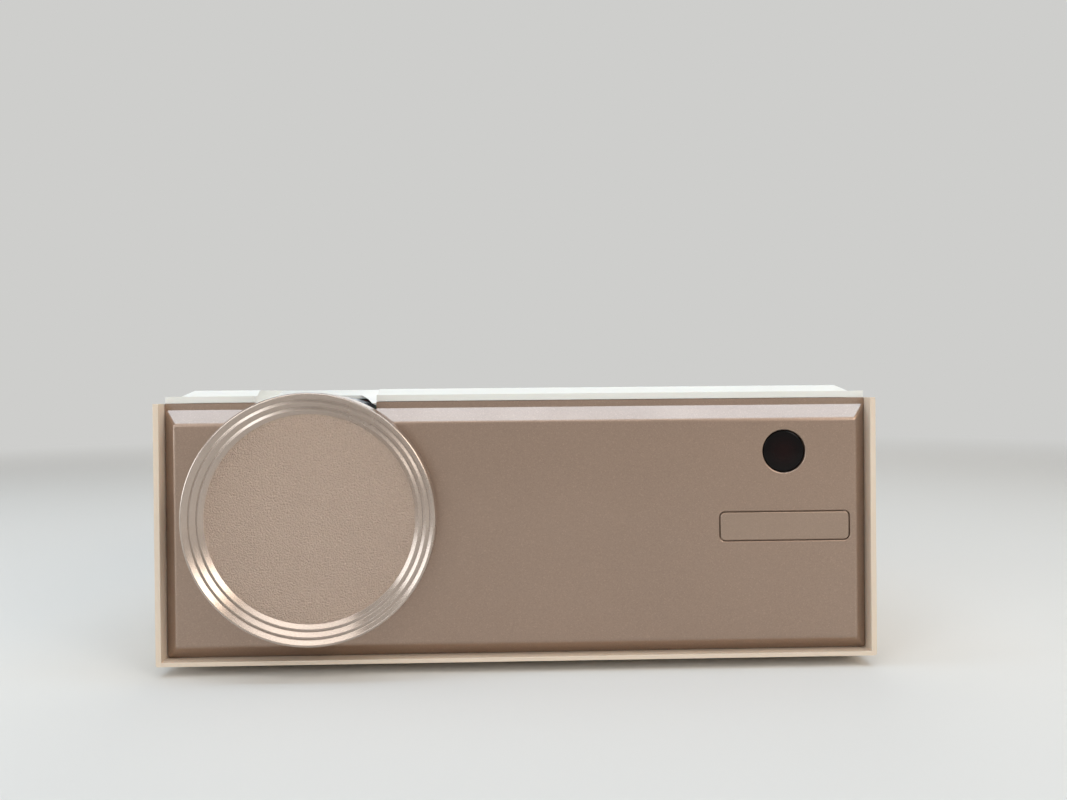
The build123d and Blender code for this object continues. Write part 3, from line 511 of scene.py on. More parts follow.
def metal_flake() -> bpy.types.ShaderNodeTree:
    """Metallic paint: small flakes that differ in lightness and tilt, with painted highlights: the
    brightest flakes are lightened in the colour as painted glints.

    Returns:
        The node group.
    """
    canvas, given, made = start_group("metal_flake", (0.5, 0.45, 0.4, 1.0), {
        "Flake Scale": 3200.0, "Sparkle": 0.2, "Painted Glint": 0.2, "Pebble Scale": 1500.0,
        "Pebble Depth": 0.1, "Pebble Height": 0.0006, "Gloss Low": 0.35, "Gloss High": 0.45})
    place = canvas.place()
    flake = canvas.add("ShaderNodeTexVoronoi", {"Vector": place, "Scale": given["Flake Scale"]})
    shine = canvas.add("ShaderNodeSeparateColor", {0: flake.outputs["Color"]}).outputs[0]
    spread = canvas.math("MULTIPLY", canvas.math("SUBTRACT", shine, 0.45), given["Sparkle"])
    haze = canvas.noise(place, scale=30.0, detail=4.0)
    cloud = canvas.span(haze, 0.3, 0.7, to_low=-0.02, to_high=0.02)
    # painted highlight: flakes above the threshold are lightened in the colour as painted glints,
    # standing in for flakes catching the lamps
    painted_glint = canvas.math("MULTIPLY", canvas.math("GREATER_THAN", shine, 0.955), given["Painted Glint"])
    level = canvas.math("ADD", canvas.math("ADD", spread, cloud), painted_glint)
    pebble = canvas.noise(place, given["Pebble Scale"], detail=3.0)
    height = canvas.math("ADD", pebble, canvas.math("MULTIPLY", shine, 0.15))
    canvas.feed(made, {
        "Color": canvas.tint(given["Color"], canvas.math("ADD", level, 1.0)),
        "Roughness": handled_gloss(canvas, given, canvas.noise(place, scale=45.0, detail=5.0)),
        "Normal": canvas.bump(given["Pebble Depth"], given["Pebble Height"], height)})
    return canvas.tree


def linear(colour: Colour) -> tuple[float, float, float, float]:
    """Turns a colour as it is seen on a screen, 0 to 255, into the renderer's own values.

    Args:
        colour: red, green and blue.

    Returns:
        The linear colour with full alpha.
    """
    def channel(value: int) -> float:
        """One channel of the sRGB curve."""
        level = value / 255
        return level / 12.92 if level <= 0.04045 else ((level + 0.055) / 1.055) ** 2.4
    red, green, blue = (channel(value) for value in colour)
    return red, green, blue, 1.0


# ---- Finishes ----
GRAIN = moulded_grain()
FLAKE = metal_flake()


@dataclass(frozen=True)
class Finish:
    """A material that holds one Principled shader."""

    name: str

    def make(self) -> Material:
        """Builds the material.

        Returns:
            The finished material.
        """
        material = bpy.data.materials.new(self.name)
        material.use_nodes = True
        canvas = Canvas(material.node_tree)
        shader = canvas.add("ShaderNodeBsdfPrincipled")
        surface = self.fill(canvas, shader) or shader.outputs[0]
        canvas.add("ShaderNodeOutputMaterial", {"Surface": surface})
        return material

    def fill(self, canvas: Canvas, shader: Node) -> Socket | None:
        """Wires the shader, and gives another surface if it isn't the shader that shows."""
        raise NotImplementedError

    @staticmethod
    def skin(canvas: Canvas, shader: Node, group: bpy.types.NodeTree, values: dict) -> None:
        """Puts a shared effect in front of the shader.

        Args:
            canvas: the material's canvas.
            shader: its shader.
            group: the effect's node group.
            values: the group's inputs.
        """
        effect = canvas.feed(canvas.add("ShaderNodeGroup", node_tree=group), values)
        canvas.feed(shader, {socket: effect.outputs[label] for label, socket in SKIN.items()})


@dataclass(frozen=True)
class MouldedPlastic(Finish):
    """Plastic with a moulded skin."""

    colour: Colour
    gloss: Pair = (0.38, 0.5)
    grain_scale: float = 3500.0
    grain_depth: float = 0.06
    mottle: float = 0.05
    glow: float = 0.0
    glow_radius: Place = (1.0, 0.75, 0.5)
    glow_scale: float = 0.0015

    def fill(self, canvas: Canvas, shader: Node) -> None:
        """Wires the grain, and a little light within where the plastic is pale.

        Args:
            canvas: the material's canvas.
            shader: its shader.
        """
        self.skin(canvas, shader, GRAIN, {
            "Color": linear(self.colour), "Mottle": self.mottle,
            "Grain Scale": self.grain_scale, "Grain Depth": self.grain_depth,
            "Gloss Low": self.gloss[0], "Gloss High": self.gloss[1]})
        shader.inputs["IOR"].default_value = 1.5
        if self.glow:
            canvas.feed(shader, {"Subsurface Weight": self.glow,
                                 "Subsurface Radius": self.glow_radius,
                                 "Subsurface Scale": self.glow_scale})


@dataclass(frozen=True)
class FlakePaint(Finish):
    """Metallic paint over plastic, with or without a pebbled skin and a clear coat."""

    colour: Colour
    gloss: Pair = (0.34, 0.44)
    flake_scale: float = 3200.0
    sparkle: float = 0.25
    # painted highlight: how much the brightest flakes are lightened in the colour as painted glints
    painted_glint: float = 0.25
    pebble_scale: float = 1800.0
    pebble_depth: float = 0.06
    pebble_height: float = 0.0006
    metallic: float = 0.55
    coat: float = 0.0
    coat_roughness: float = 0.16
    coat_ior: float = 1.7

    def fill(self, canvas: Canvas, shader: Node) -> None:
        """Wires the flakes and the coat.

        Args:
            canvas: the material's canvas.
            shader: its shader.
        """
        self.skin(canvas, shader, FLAKE, {
            "Color": linear(self.colour), "Flake Scale": self.flake_scale,
            "Sparkle": self.sparkle, "Painted Glint": self.painted_glint, "Pebble Scale": self.pebble_scale,
            "Pebble Depth": self.pebble_depth, "Pebble Height": self.pebble_height,
            "Gloss Low": self.gloss[0], "Gloss High": self.gloss[1]})
        shader.inputs["Metallic"].default_value = self.metallic
        if self.coat:
            canvas.feed(shader, {"Coat Weight": self.coat, "Coat IOR": self.coat_ior,
                                 "Coat Roughness": self.coat_roughness})


@dataclass(frozen=True)
class BareMetal(Finish):
    """Drawn, rolled or turned metal with fine lines along one axis."""

    colour: Colour
    gloss: Pair = (0.22, 0.36)
    stretch: Place = (40.0, 1600.0, 1600.0)

    def fill(self, canvas: Canvas, shader: Node) -> None:
        """Wires the lines into the colour, the gloss and the relief.

        Args:
            canvas: the material's canvas.
            shader: its shader.
        """
        drawn = canvas.add("ShaderNodeMapping",
                           {"Vector": canvas.place(), "Scale": self.stretch}).outputs[0]
        lines = canvas.noise(drawn, scale=1.0, detail=4.0)
        level = canvas.span(lines, 0.3, 0.7, to_low=0.94, to_high=1.05)
        canvas.feed(shader, {"Metallic": 1.0,
                             "Base Color": canvas.tint(linear(self.colour), level),
                             "Roughness": canvas.span(lines, 0.3, 0.7, *self.gloss),
                             "Normal": canvas.bump(strength=0.05, distance=0.1 * MM, height=lines)})


@dataclass(frozen=True)
class ClearGlass(Finish):
    """Optical glass or clear plastic."""

    colour: Colour = (236, 242, 245)
    refraction: float = 1.5
    coat: float = 0.0

    def fill(self, canvas: Canvas, shader: Node) -> None:
        """Wires a film of dust into the gloss.

        Args:
            canvas: the material's canvas.
            shader: its shader.
        """
        dust = canvas.noise(canvas.place(), scale=160.0, detail=6.0)
        canvas.feed(shader, {"Roughness": canvas.span(dust, 0.45, 0.8, to_low=0.015, to_high=0.09),
                             "Base Color": linear(self.colour), "Transmission Weight": 1.0,
                             "IOR": self.refraction, "Coat Weight": self.coat})


@dataclass(frozen=True)
class DarkWindow(Finish):
    """A polished, nearly black window with a deep red heart."""

    centre: Vector
    radius: float
    heart: Place = (0.013, 0.003, 0.003, 1.0)
    edge: Place = (0.003, 0.002, 0.002, 1.0)
    edge_start: float = 0.75

    def fill(self, canvas: Canvas, shader: Node) -> None:
        """Wires the colour that darkens outwards, and the gloss.

        Args:
            canvas: the material's canvas.
            shader: its shader.
        """
        place = canvas.place()
        away = canvas.add("ShaderNodeVectorMath", {0: place, 1: self.centre},
                          operation="DISTANCE").outputs["Value"]
        ramp = canvas.add("ShaderNodeValToRGB", {0: canvas.span(away, 0.0, self.radius)})
        ramp.color_ramp.elements[0].color = self.heart
        ramp.color_ramp.elements[1].position = self.edge_start
        ramp.color_ramp.elements[1].color = self.edge
        smudge = canvas.noise(place, scale=260.0, detail=5.0)
        gloss = canvas.span(smudge, 0.4, 0.75, to_low=0.05, to_high=0.11)
        canvas.feed(shader, {"Specular IOR Level": 0.15, "Base Color": ramp.outputs[0],
                             "Roughness": gloss})


@dataclass(frozen=True)
class CircuitBoard(Finish):
    """Green solder mask over copper tracks."""

    masks: tuple[Colour, Colour] = ((18, 82, 44), (14, 70, 38))
    track: Colour = (38, 120, 62)

    def fill(self, canvas: Canvas, shader: Node) -> None:
        """Wires the tracks into the colour and the gloss.

        Args:
            canvas: the material's canvas.
            shader: its shader.
        """
        tracks = canvas.add("ShaderNodeTexBrick", {
            "Vector": canvas.place(), "Scale": 220.0, "Mortar Size": 0.06,
            "Color1": linear(self.masks[0]), "Color2": linear(self.masks[1]),
            "Mortar": linear(self.track)})
        gloss = canvas.span(tracks.outputs["Fac"], 0.0, 1.0, to_low=0.28, to_high=0.4)
        canvas.feed(shader, {"Base Color": tracks.outputs["Color"], "Roughness": gloss})


@dataclass(frozen=True)
class StudioPaper(Finish):
    """Pale paper, which is as bright far away as the lamps make it near by."""

    colour: Colour = (226, 225, 222)
    distance: Colour = (206, 206, 204)
    fade: Pair = (0.6, 1.7)

    def fill(self, canvas: Canvas, shader: Node) -> Socket:
        """Wires the paper, and the glow that takes its place with distance.

        Args:
            canvas: the material's canvas.
            shader: its shader.

        Returns:
            The mixed surface.
        """
        canvas.feed(shader, {"Base Color": linear(self.colour), "Roughness": 0.85})
        away = canvas.add("ShaderNodeVectorMath", {0: canvas.place()}, operation="LENGTH")
        far = canvas.span(away.outputs["Value"], *self.fade, interpolation_type="SMOOTHSTEP")
        path = canvas.add("ShaderNodeLightPath").outputs
        mirrored = canvas.math("MAXIMUM", path["Is Glossy Ray"], path["Is Transmission Ray"])
        seen = canvas.math("MAXIMUM", path["Is Camera Ray"], mirrored)
        glow = canvas.add("ShaderNodeEmission", {"Color": linear(self.distance), "Strength": 1.0})
        return canvas.add("ShaderNodeMixShader", {
            0: canvas.math("MULTIPLY", far, seen), 1: shader.outputs[0],
            2: glow.outputs[0]}).outputs[0]


class FinishBook:
    """Every finish on the object, made once and looked up by name."""

    def __init__(self) -> None:
        """Lists the finishes."""
        low, high = corners("ir_window")
        self._made: dict[str, Material] = {}
        self._finishes = {finish.name: finish for finish in (
            MouldedPlastic("housing_cream", (233, 216, 197), glow=0.12),
            MouldedPlastic("cover_white", (240, 240, 235), gloss=(0.3, 0.42), glow=0.08),
            FlakePaint("panel_champagne", (159, 134, 116), gloss=(0.32, 0.38), sparkle=0.14,
                       painted_glint=0.1, pebble_depth=0.02, metallic=0.75, coat=0.6),
            FlakePaint("cap_champagne", (182, 165, 152), gloss=(0.22, 0.28), sparkle=0.06,
                       painted_glint=0.04, pebble_depth=0.01, metallic=0.85, coat=0.8),
            FlakePaint("cap_disc", (192, 170, 154), gloss=(0.34, 0.42), flake_scale=2600.0,
                       sparkle=0.12, painted_glint=0.05, pebble_scale=1700.0, pebble_depth=1.0,
                       pebble_height=0.0009, metallic=0.75),
            FlakePaint("badge_champagne", (163, 139, 121), gloss=(0.3, 0.36), sparkle=0.1,
                       painted_glint=0.06, pebble_depth=0.01, metallic=0.8, coat=0.6),
            FlakePaint("bezel_silver", (150, 140, 130), metallic=0.7),
            DarkWindow("sensor_black", (low + high) / 2, (high.x - low.x) / 2),
            MouldedPlastic("focus_grey", (184, 186, 191), gloss=(0.25, 0.35)),
            MouldedPlastic("inner_black", (26, 26, 27), gloss=(0.42, 0.6), grain_depth=0.12),
            MouldedPlastic("tray_black", (30, 30, 32), gloss=(0.3, 0.42)),
            MouldedPlastic("key_silver", (196, 190, 182), gloss=(0.28, 0.38)),
            MouldedPlastic("foot_rubber", (34, 33, 32), gloss=(0.7, 0.85), grain_scale=2200.0,
                           grain_depth=0.3),
            BareMetal("plated_steel", (176, 178, 182)),
            BareMetal("cast_aluminium", (196, 198, 201), gloss=(0.3, 0.45)),
            BareMetal("turned_brass", (204, 168, 92), gloss=(0.18, 0.3)),
            BareMetal("bright_metal", (206, 208, 212), gloss=(0.1, 0.2)),
            ClearGlass("coated_glass", refraction=1.52, coat=0.4),
            ClearGlass("flat_glass", refraction=1.46),
            MouldedPlastic("image_panel", (22, 24, 30), gloss=(0.08, 0.16), grain_depth=0.0),
            MouldedPlastic("led_yellow", (226, 208, 92), gloss=(0.3, 0.45)),
            CircuitBoard("solder_mask"),
            MouldedPlastic("cone_paper", (40, 40, 42), gloss=(0.75, 0.9), grain_depth=0.4))}

    def get(self, name: str) -> Material:
        """Gives a finish's material, making it the first time.

        Args:
            name: the finish's name.

        Returns:
            The material.
        """
        if name not in self._made:
            self._made[name] = self._finishes[name].make()
        return self._made[name]


FINISHES = FinishBook()


@dataclass
class Fitting:
    """A piece that is shaped in the room of one frame node and stands for it."""

    node: str
    body: str = "housing"
    slot: str = ""
    finishes: Names = ()

    def __post_init__(self) -> None:
        """Reads the node's box."""
        self.low, self.high = corners(self.node)
        self.centre = (self.low + self.high) / 2

    def install(self, piece: Piece) -> None:
        """Gives a shaped piece its finishes, its body and its node.

        Args:
            piece: the shaped object.
        """
        piece.data.materials.clear()
        for name in self.finishes:
            piece.data.materials.append(FINISHES.get(name))
        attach(piece, self.body)
        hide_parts(self.node)
        LOG.info("%s: %d faces", piece.name, len(piece.data.polygons))


# ---- Housing ----
@dataclass
class HousingShell(Fitting):
    """The open-ended shell: floor and two side walls, with its slots, bosses and holes."""

    node: str = "base_shell"
    slot: str = "cream_shell"
    finishes: Names = ("housing_cream",)
    floor: float = 1.6 * MM
    wall: float = 2.0 * MM
    belly_round: float = 0.8 * MM
    rim_round: float = 0.4 * MM
    slot_gap: float = 0.3 * MM
    vents: int = 9
    vent_width: float = 3.0 * MM
    vent_low: float = 22.0 * MM
    vent_high: float = 52.0 * MM
    vent_margins: Pair = (12 * MM, 8 * MM)
    screw_boss: Pair = (5.0 * MM, 6.0 * MM)
    screw_reach: float = 2.9 * MM
    screw_behind_lens: float = 28 * MM
    screw_hole: Pair = (1.6 * MM, 12 * MM)
    screw_hole_middle: float = 4 * MM
    screw_head: Pair = (3.1 * MM, 5.2 * MM)
    foot_boss: Pair = (8.0 * MM, 12.0 * MM)
    foot_bore: float = 4.05 * MM
    insert_boss: Pair = (8.0 * MM, 10.0 * MM)
    insert_bore: float = 5.5 * MM
    bore_length: float = 30 * MM

    def channel(self) -> Piece:
        """Makes the floor and the walls from one box, open at the front, the back and the top.

        Returns:
            The channel.
        """
        shell = add_block("housing_shell", self.low, self.high)
        with editing(shell):
            round_edges(shell, lambda a, b: max(a.z, b.z) < self.low.z + NEAR
                        and abs(a.x - b.x) < SAME, self.belly_round, segments=4)
        cut_block(shell, (self.low.x + self.wall, self.low.y - OVER, self.low.z + self.floor),
                  (self.high.x - self.wall, self.high.y + OVER, self.high.z + OVER))
        return shell

    def open_wall(self, shell: Piece, right: bool, y: Pair, z: Pair) -> None:
        """Cuts a rectangular opening through a side wall.

        Args:
            shell: the channel.
            right: whether it is the right wall.
            y: the opening's ends along the wall.
            z: its lower and upper edges.
        """
        left_x = (self.low.x - OVER, self.low.x + self.wall + OVER)
        right_x = (self.high.x - self.wall - OVER, self.high.x + OVER)
        cut_block(shell, *zip(right_x if right else left_x, y, z))

    def vent_rows(self) -> list[float]:
        """Spaces the vents along the side walls.

        Returns:
            The middle of each.
        """
        engine_low, engine_high = corners("engine_case")
        start, end = engine_low.y + self.vent_margins[0], engine_high.y - self.vent_margins[1]
        return [start + (end - start) * step / (self.vents - 1) for step in range(self.vents)]

    def screw_places(self) -> list[Pair]:
        """Reads the places of the four pillars from the frame's screws.

        Returns:
            Each one's place across and along the floor.
        """
        low, high = corners("case_screws")
        left, right = low.x + self.screw_reach, high.x - self.screw_reach
        front, rear = low.y + self.screw_reach, high.y - self.screw_reach
        return [(left, front + self.screw_behind_lens), (left, rear), (right, front), (right, rear)]

    def fit_bosses(self, shell: Piece) -> None:
        """Adds the bosses on the floor and drills them.

        Args:
            shell: the channel.
        """
        foot, insert = middle("front_foot_screw"), middle("tripod_insert")
        bosses = [(x, y, *self.screw_boss) for x, y in self.screw_places()]
        bosses += [(foot.x, foot.y, *self.foot_boss), (insert.x, insert.y, *self.insert_boss)]
        base = self.low.z
        start = base + self.floor / 2
        for x, y, radius, height in bosses:
            fuse(shell, add_drum("boss", (x, y, (start + base + height) / 2), radius,
                                 base + height - start, Along.Z, sides=48))
        for x, y in self.screw_places():
            drill(shell, (x, y, base + self.screw_hole_middle), *self.screw_hole, Along.Z,
                  sides=32)
            drill(shell, (x, y, base), *self.screw_head, Along.Z, sides=48)
        for place, radius in ((foot, self.foot_bore), (insert, self.insert_bore)):
            drill(shell, (place.x, place.y, base), radius, self.bore_length, Along.Z, sides=64)

    def build(self) -> None:
        """Shapes the shell."""
        shell = self.channel()
        low, high = corners("tray_bezel")
        gap, half = self.slot_gap, self.vent_width / 2
        self.open_wall(shell, True, (low.y - gap, high.y + gap), (low.z - gap, high.z + gap))
        heights = (self.low.z + self.vent_low, self.low.z + self.vent_high)
        for middle_y in self.vent_rows():
            for right in (False, True):
                self.open_wall(shell, right, (middle_y - half, middle_y + half), heights)
        self.fit_bosses(shell)
        clean(shell)
        soften(shell, self.rim_round, segments=2, angle=50.0)
        self.install(shell)


@dataclass
class BadgePlate(Fitting):
    """The small rounded plate on the right, bare."""

    node: str = "badge_plate"
    slot: str = "badge_metal"
    finishes: Names = ("badge_champagne",)
    corner: float = 1.8 * MM
    edge_round: float = 0.5 * MM

    def blank(self, grow: float, ahead: float = 0.0) -> Piece:
        """Makes the plate's outline as a solid with rounded corners.

        Args:
            grow: how much larger it is on each side.
            ahead: how far it reaches in front of the plate.

        Returns:
            The solid.
        """
        plate = add_block("badge", (self.low.x - grow, self.low.y - ahead, self.low.z - grow),
                          (self.high.x + grow, self.high.y, self.high.z + grow))
        with editing(plate):
            round_edges(plate, runs_along(1), self.corner + grow, segments=10)
        return plate

    def build(self) -> None:
        """Shapes the plate."""
        plate = self.blank(0.0)
        plate.name = "badge_plate_bare"
        soften(plate, self.edge_round, segments=4)
        self.install(plate)


@dataclass
class FrontPanel(Fitting):
    """The champagne panel: a flat face with a 45-degree bevel all round it."""

    node: str = "front_panel"
    slot: str = "champagne_paint"
    finishes: Names = ("panel_champagne",)
    bevel: float = 5.2 * MM
    thickness: float = 2.0 * MM
    lip: float = 2.4 * MM
    lens_hole: float = 42.9 * MM
    hole_gap: float = 0.2 * MM
    hole_length: float = 30 * MM
    notch: float = 44.1 * MM
    sensor_hole: Pair = (7.75 * MM, 8 * MM)
    groove: float = 0.25 * MM
    edge_round: float = 0.8 * MM
    rim_round: float = 0.55 * MM
    rim_margin: float = 2 * MM

    def bevelled_form(self, grow: float, back: float) -> Piece:
        """Makes a box whose front is drawn in to a smaller face, as a tray's bottom is.

        Args:
            grow: how much larger the form is than the panel on each side.
            back: the place of its back along Y.

        Returns:
            The form.
        """
        edge_y = self.low.y + self.bevel - grow * (math.sqrt(2) - 1)
        form = add_block("panel_form", (self.low.x - grow, edge_y, self.low.z - grow),
                         (self.high.x + grow, back, self.high.z - self.lip + grow))
        depth = edge_y - (self.low.y - grow)
        with editing(form):
            pick_faces(form, faces_front)
            inset(depth)
            shift(y=-depth)
            if grow == 0.0:
                round_edges(form, lambda a, b: min(a.y, b.y) < edge_y - NEAR, self.edge_round,
                            segments=5)
        return form

    def cut_openings(self, panel: Piece) -> None:
        """Opens the panel for the lens, the scoop above it, the window and the plate.

        Args:
            panel: the uncut panel.
        """
        lens_x, lens_z = middle("lens_bezel").x, middle("focus_ring").z
        hole = self.lens_hole + self.hole_gap
        drill(panel, (lens_x, self.low.y + self.bevel, lens_z), hole, self.hole_length,
              Along.Y, sides=256)
        rise = math.sqrt(hole ** 2 - (self.notch / 2) ** 2)
        cut_block(panel, (lens_x - self.notch / 2, self.low.y - OVER, lens_z + rise),
                  (lens_x + self.notch / 2, self.high.y + OVER, self.high.z + OVER))
        sensor = middle("ir_window")
        drill(panel, (sensor.x, self.low.y, sensor.z), *self.sensor_hole, Along.Y, sides=96)
        cut_away(panel, BadgePlate().blank(self.groove, OVER))

    def on_rim(self, point: Vector) -> bool:
        """Tells the points of the flat face's openings, well inside its bevelled border.

        Args:
            point: a point of the panel.

        Returns:
            Whether it is one of them.
        """
        margin = self.bevel + self.rim_margin
        return (abs(point.y - self.low.y) < SAME and abs(point.x) < self.high.x - margin
                and self.low.z + margin < point.z < self.high.z - self.lip - margin)

    def build(self) -> None:
        """Shapes the panel."""
        panel = self.bevelled_form(0.0, self.high.y)
        cut_away(panel, self.bevelled_form(-self.thickness, self.high.y + OVER))
        lip_y = self.low.y + self.bevel
        fuse(panel, add_block("lip", (self.low.x, lip_y, self.high.z - self.lip - self.thickness),
                              (self.high.x, lip_y + self.thickness, self.high.z)))
        self.cut_openings(panel)
        panel.name = "front_panel_shell"
        clean(panel)
        with editing(panel):
            round_edges(panel, lambda a, b: self.on_rim(a) and self.on_rim(b), self.rim_round,
                        segments=4)
        shade(panel, angle=32.0)
        self.install(panel)


@dataclass
class SensorWindow(Fitting):
    """The round polished window over the remote sensor."""

    node: str = "ir_window"
    slot: str = "ir_glass"
    finishes: Names = ("sensor_black",)
    radius: float = 7.55 * MM
    crown: float = 0.25 * MM
    crown_steps: tuple[float, ...] = (0.42, 0.28, 0.18, 0.1)
    crown_inset: float = 0.18
    edge_round: float = 0.5 * MM

    def build(self) -> None:
        """Shapes the window: a drum with a slightly crowned face."""
        face_y = self.low.y + self.crown
        lens = add_drum("sensor_window",
                        (self.centre.x, (face_y + self.high.y) / 2, self.centre.z),
                        self.radius, self.high.y - face_y, Along.Y, sides=96)
        with editing(lens):
            pick_faces(lens, faces_front)
            for share in self.crown_steps:
                inset(self.radius * self.crown_inset)
                shift(y=-self.crown * share)
        soften(lens, self.edge_round, segments=4, angle=50.0)
        self.install(lens)


KEY_NODES = ("ok_key", "up_key", "down_key", "left_key", "right_key", "power_key", "source_key")


@dataclass
class KeyCap(Fitting):
    """One key: a round or stadium-like cap, slightly dished."""

    slot: str = "key_face"
    finishes: Names = ("key_silver",)
    flange: float = 0.9 * MM
    flange_start: float = 0.42
    flange_gap: float = 0.1 * MM
    flange_round: float = 0.1 * MM
    depth: float = 3.0 * MM
    corner: float = 2.0 * MM
    dish: float = 0.25 * MM
    dish_step: float = 0.9 * MM
    stem: float = 2 * MM
    edge_round: float = 0.35 * MM

    def __post_init__(self) -> None:
        """Puts the key on its own body, which has the node's name."""
        super().__post_init__()
        self.body = self.node

    def blank(self, grow: float, z0: float, z1: float) -> Piece:
        """Makes the cap's outline as a solid.

        Args:
            grow: how much larger it is all round.
            z0: its underside.
            z1: its top.

        Returns:
            The solid.
        """
        drawn_in = self.flange - grow
        margin = Vector((drawn_in, drawn_in, 0))
        low, high = self.low + margin, self.high - margin
        if abs((high.x - low.x) - (high.y - low.y)) < NEAR:
            return add_drum("key", ((low.x + high.x) / 2, (low.y + high.y) / 2, (z0 + z1) / 2),
                            (high.x - low.x) / 2, z1 - z0, Along.Z, sides=64)
        cap = add_block("key", (low.x, low.y, z0), (high.x, high.y, z1))
        with editing(cap):
            round_edges(cap, runs_along(2), self.corner + grow, segments=8)
        return cap

    def build(self) -> None:
        """Shapes the key with its dished top, its flange and its stem."""
        low, high, under = self.low, self.high, self.high.z - self.depth
        cap = self.blank(0.0, under, high.z)
        with editing(cap):
            pick_faces(cap, faces_up)
            inset(self.dish_step)
            inset(self.dish_step, -self.dish)
        soften(cap, self.edge_round)
        flange = self.blank(self.flange, low.z + (high.z - low.z) * self.flange_start,
                            under + self.flange_gap)
        soften(flange, self.flange_round)
        stem = add_drum("stem", (self.centre.x, self.centre.y, (low.z + under) / 2), self.stem,
                        under - low.z, Along.Z, sides=32)
        self.install(join_all(self.node + "_cap", cap, flange, stem))


@dataclass
class TopCover(Fitting):
    """The white cover: a raised middle with sloping edges, scooped out over the focus ring."""

    node: str = "top_cover"
    slot: str = "white_cover"
    finishes: Names = ("cover_white",)
    thickness: float = 1.4 * MM
    side: float = 4.6 * MM
    front: float = 2.9 * MM
    run: float = 3.6 * MM
    rise: float = 2.2 * MM
    skirt_gap: float = 0.15 * MM
    skirt_lap: float = 0.3 * MM
    notch: float = 44.1 * MM
    scoop_start: float = 4.2 * MM
    scoop_length: float = 44.0 * MM
    scoop_drop: float = 5.6 * MM
    scoop_above: float = 5 * MM
    scoop_front: float = 1.7 * MM
    scoop_depth: float = 12 * MM
    far_over: Pair = (9 * MM, 20 * MM)
    arch: float = 45.2 * MM
    arch_gap: float = 1.4 * MM
    key_gap: float = 0.3 * MM
    key_hole: Pair = (6 * MM, 3 * MM)
    edge_round: float = 0.5 * MM

    def slab(self, depth: float) -> Piece:
        """Makes a plate and draws its middle up into the plateau.

        Args:
            depth: how thick the plate is at its edge.

        Returns:
            The plate.
        """
        base_top = self.high.z - self.rise
        plate = add_block("top_cover_shell", (self.low.x, self.low.y, base_top - depth),
                          (self.high.x, self.high.y, base_top))
        inner_y = self.low.y + self.side
        with editing(plate):
            pick_faces(plate, faces_up)
            inset(self.side)
            inset(self.run)
            shift(z=self.rise)
            pick_points(plate, lambda p: p.z > base_top - SAME
                        and inner_y - NEAR < p.y < inner_y + self.run + NEAR
                        and abs(p.x) < self.high.x - self.side + NEAR)
            shift(y=self.front - self.side)
        return plate

    def wedge(self, x0: float, x1: float, drop: float) -> Piece:
        """Makes the space over the scoop's sloping floor.

        Args:
            x0: its left side.
            x1: its right side.
            drop: how far under the floor's surface it starts.

        Returns:
            The wedge.
        """
        rim = corners("base_shell")[0].y
        y0, y1, top = rim + self.scoop_start, rim + self.scoop_length, self.high.z
        wedge = add_block("scoop", (x0, y0, top - self.scoop_drop - drop),
                          (x1, y1, top + self.scoop_above))
        with editing(wedge):
            pick_points(wedge, lambda p: p.y > y1 - NEAR and p.z < top)
            shift(z=self.scoop_drop)
        return wedge

    def scoop_floor(self, x0: float, x1: float) -> Piece:
        """Makes the scoop's floor and side walls.

        Args:
            x0: the scoop's left side.
            x1: its right side.

        Returns:
            The floor, as deep as the cover's outline lets it be.
        """
        wide, tall = self.far_over
        floor = self.wedge(x0 - self.thickness, x1 + self.thickness, self.thickness)
        cut_away(floor, self.wedge(x0, x1, 0.0))
        cut_block(floor, (x0 - wide, self.low.y - wide, self.low.z - tall),
                  (x1 + wide, self.low.y + self.scoop_front, self.high.z + tall))
        return combine(floor, self.slab(self.scoop_depth), Blend.SHARE)

    def build(self) -> None:
        """Shapes the cover."""
        cover = self.slab(self.thickness)
        under = self.side + self.run + self.thickness
        base_low = self.high.z - self.rise - self.thickness
        cut_block(cover, (self.low.x + under, self.low.y + under, base_low - OVER),
                  (self.high.x - under, self.high.y - under, self.high.z - self.thickness))
        lip_top = corners("front_panel")[1].z
        fuse(cover, add_block("skirt", (self.low.x, self.low.y, lip_top + self.skirt_gap),
                              (self.high.x, self.low.y + self.thickness,
                               base_low + self.skirt_lap)))
        lens = middle("focus_ring")
        dip = (lens.x - self.notch / 2, lens.x + self.notch / 2)
        cut_away(cover, self.wedge(*dip, 0.0))
        fuse(cover, self.scoop_floor(*dip))
        back = corners("focus_ring")[1].y + self.arch_gap
        front = corners("base_shell")[0].y - OVER
        drill(cover, (lens.x, (front + back) / 2, lens.z), self.arch, back - front, Along.Y,
              sides=256)
        for node in KEY_NODES:
            cut_away(cover, KeyCap(node).blank(self.key_gap, self.high.z - self.key_hole[0],
                                               self.high.z + self.key_hole[1]))
        clean(cover)
        soften(cover, self.edge_round, segments=3, angle=24.0)
        self.install(cover)


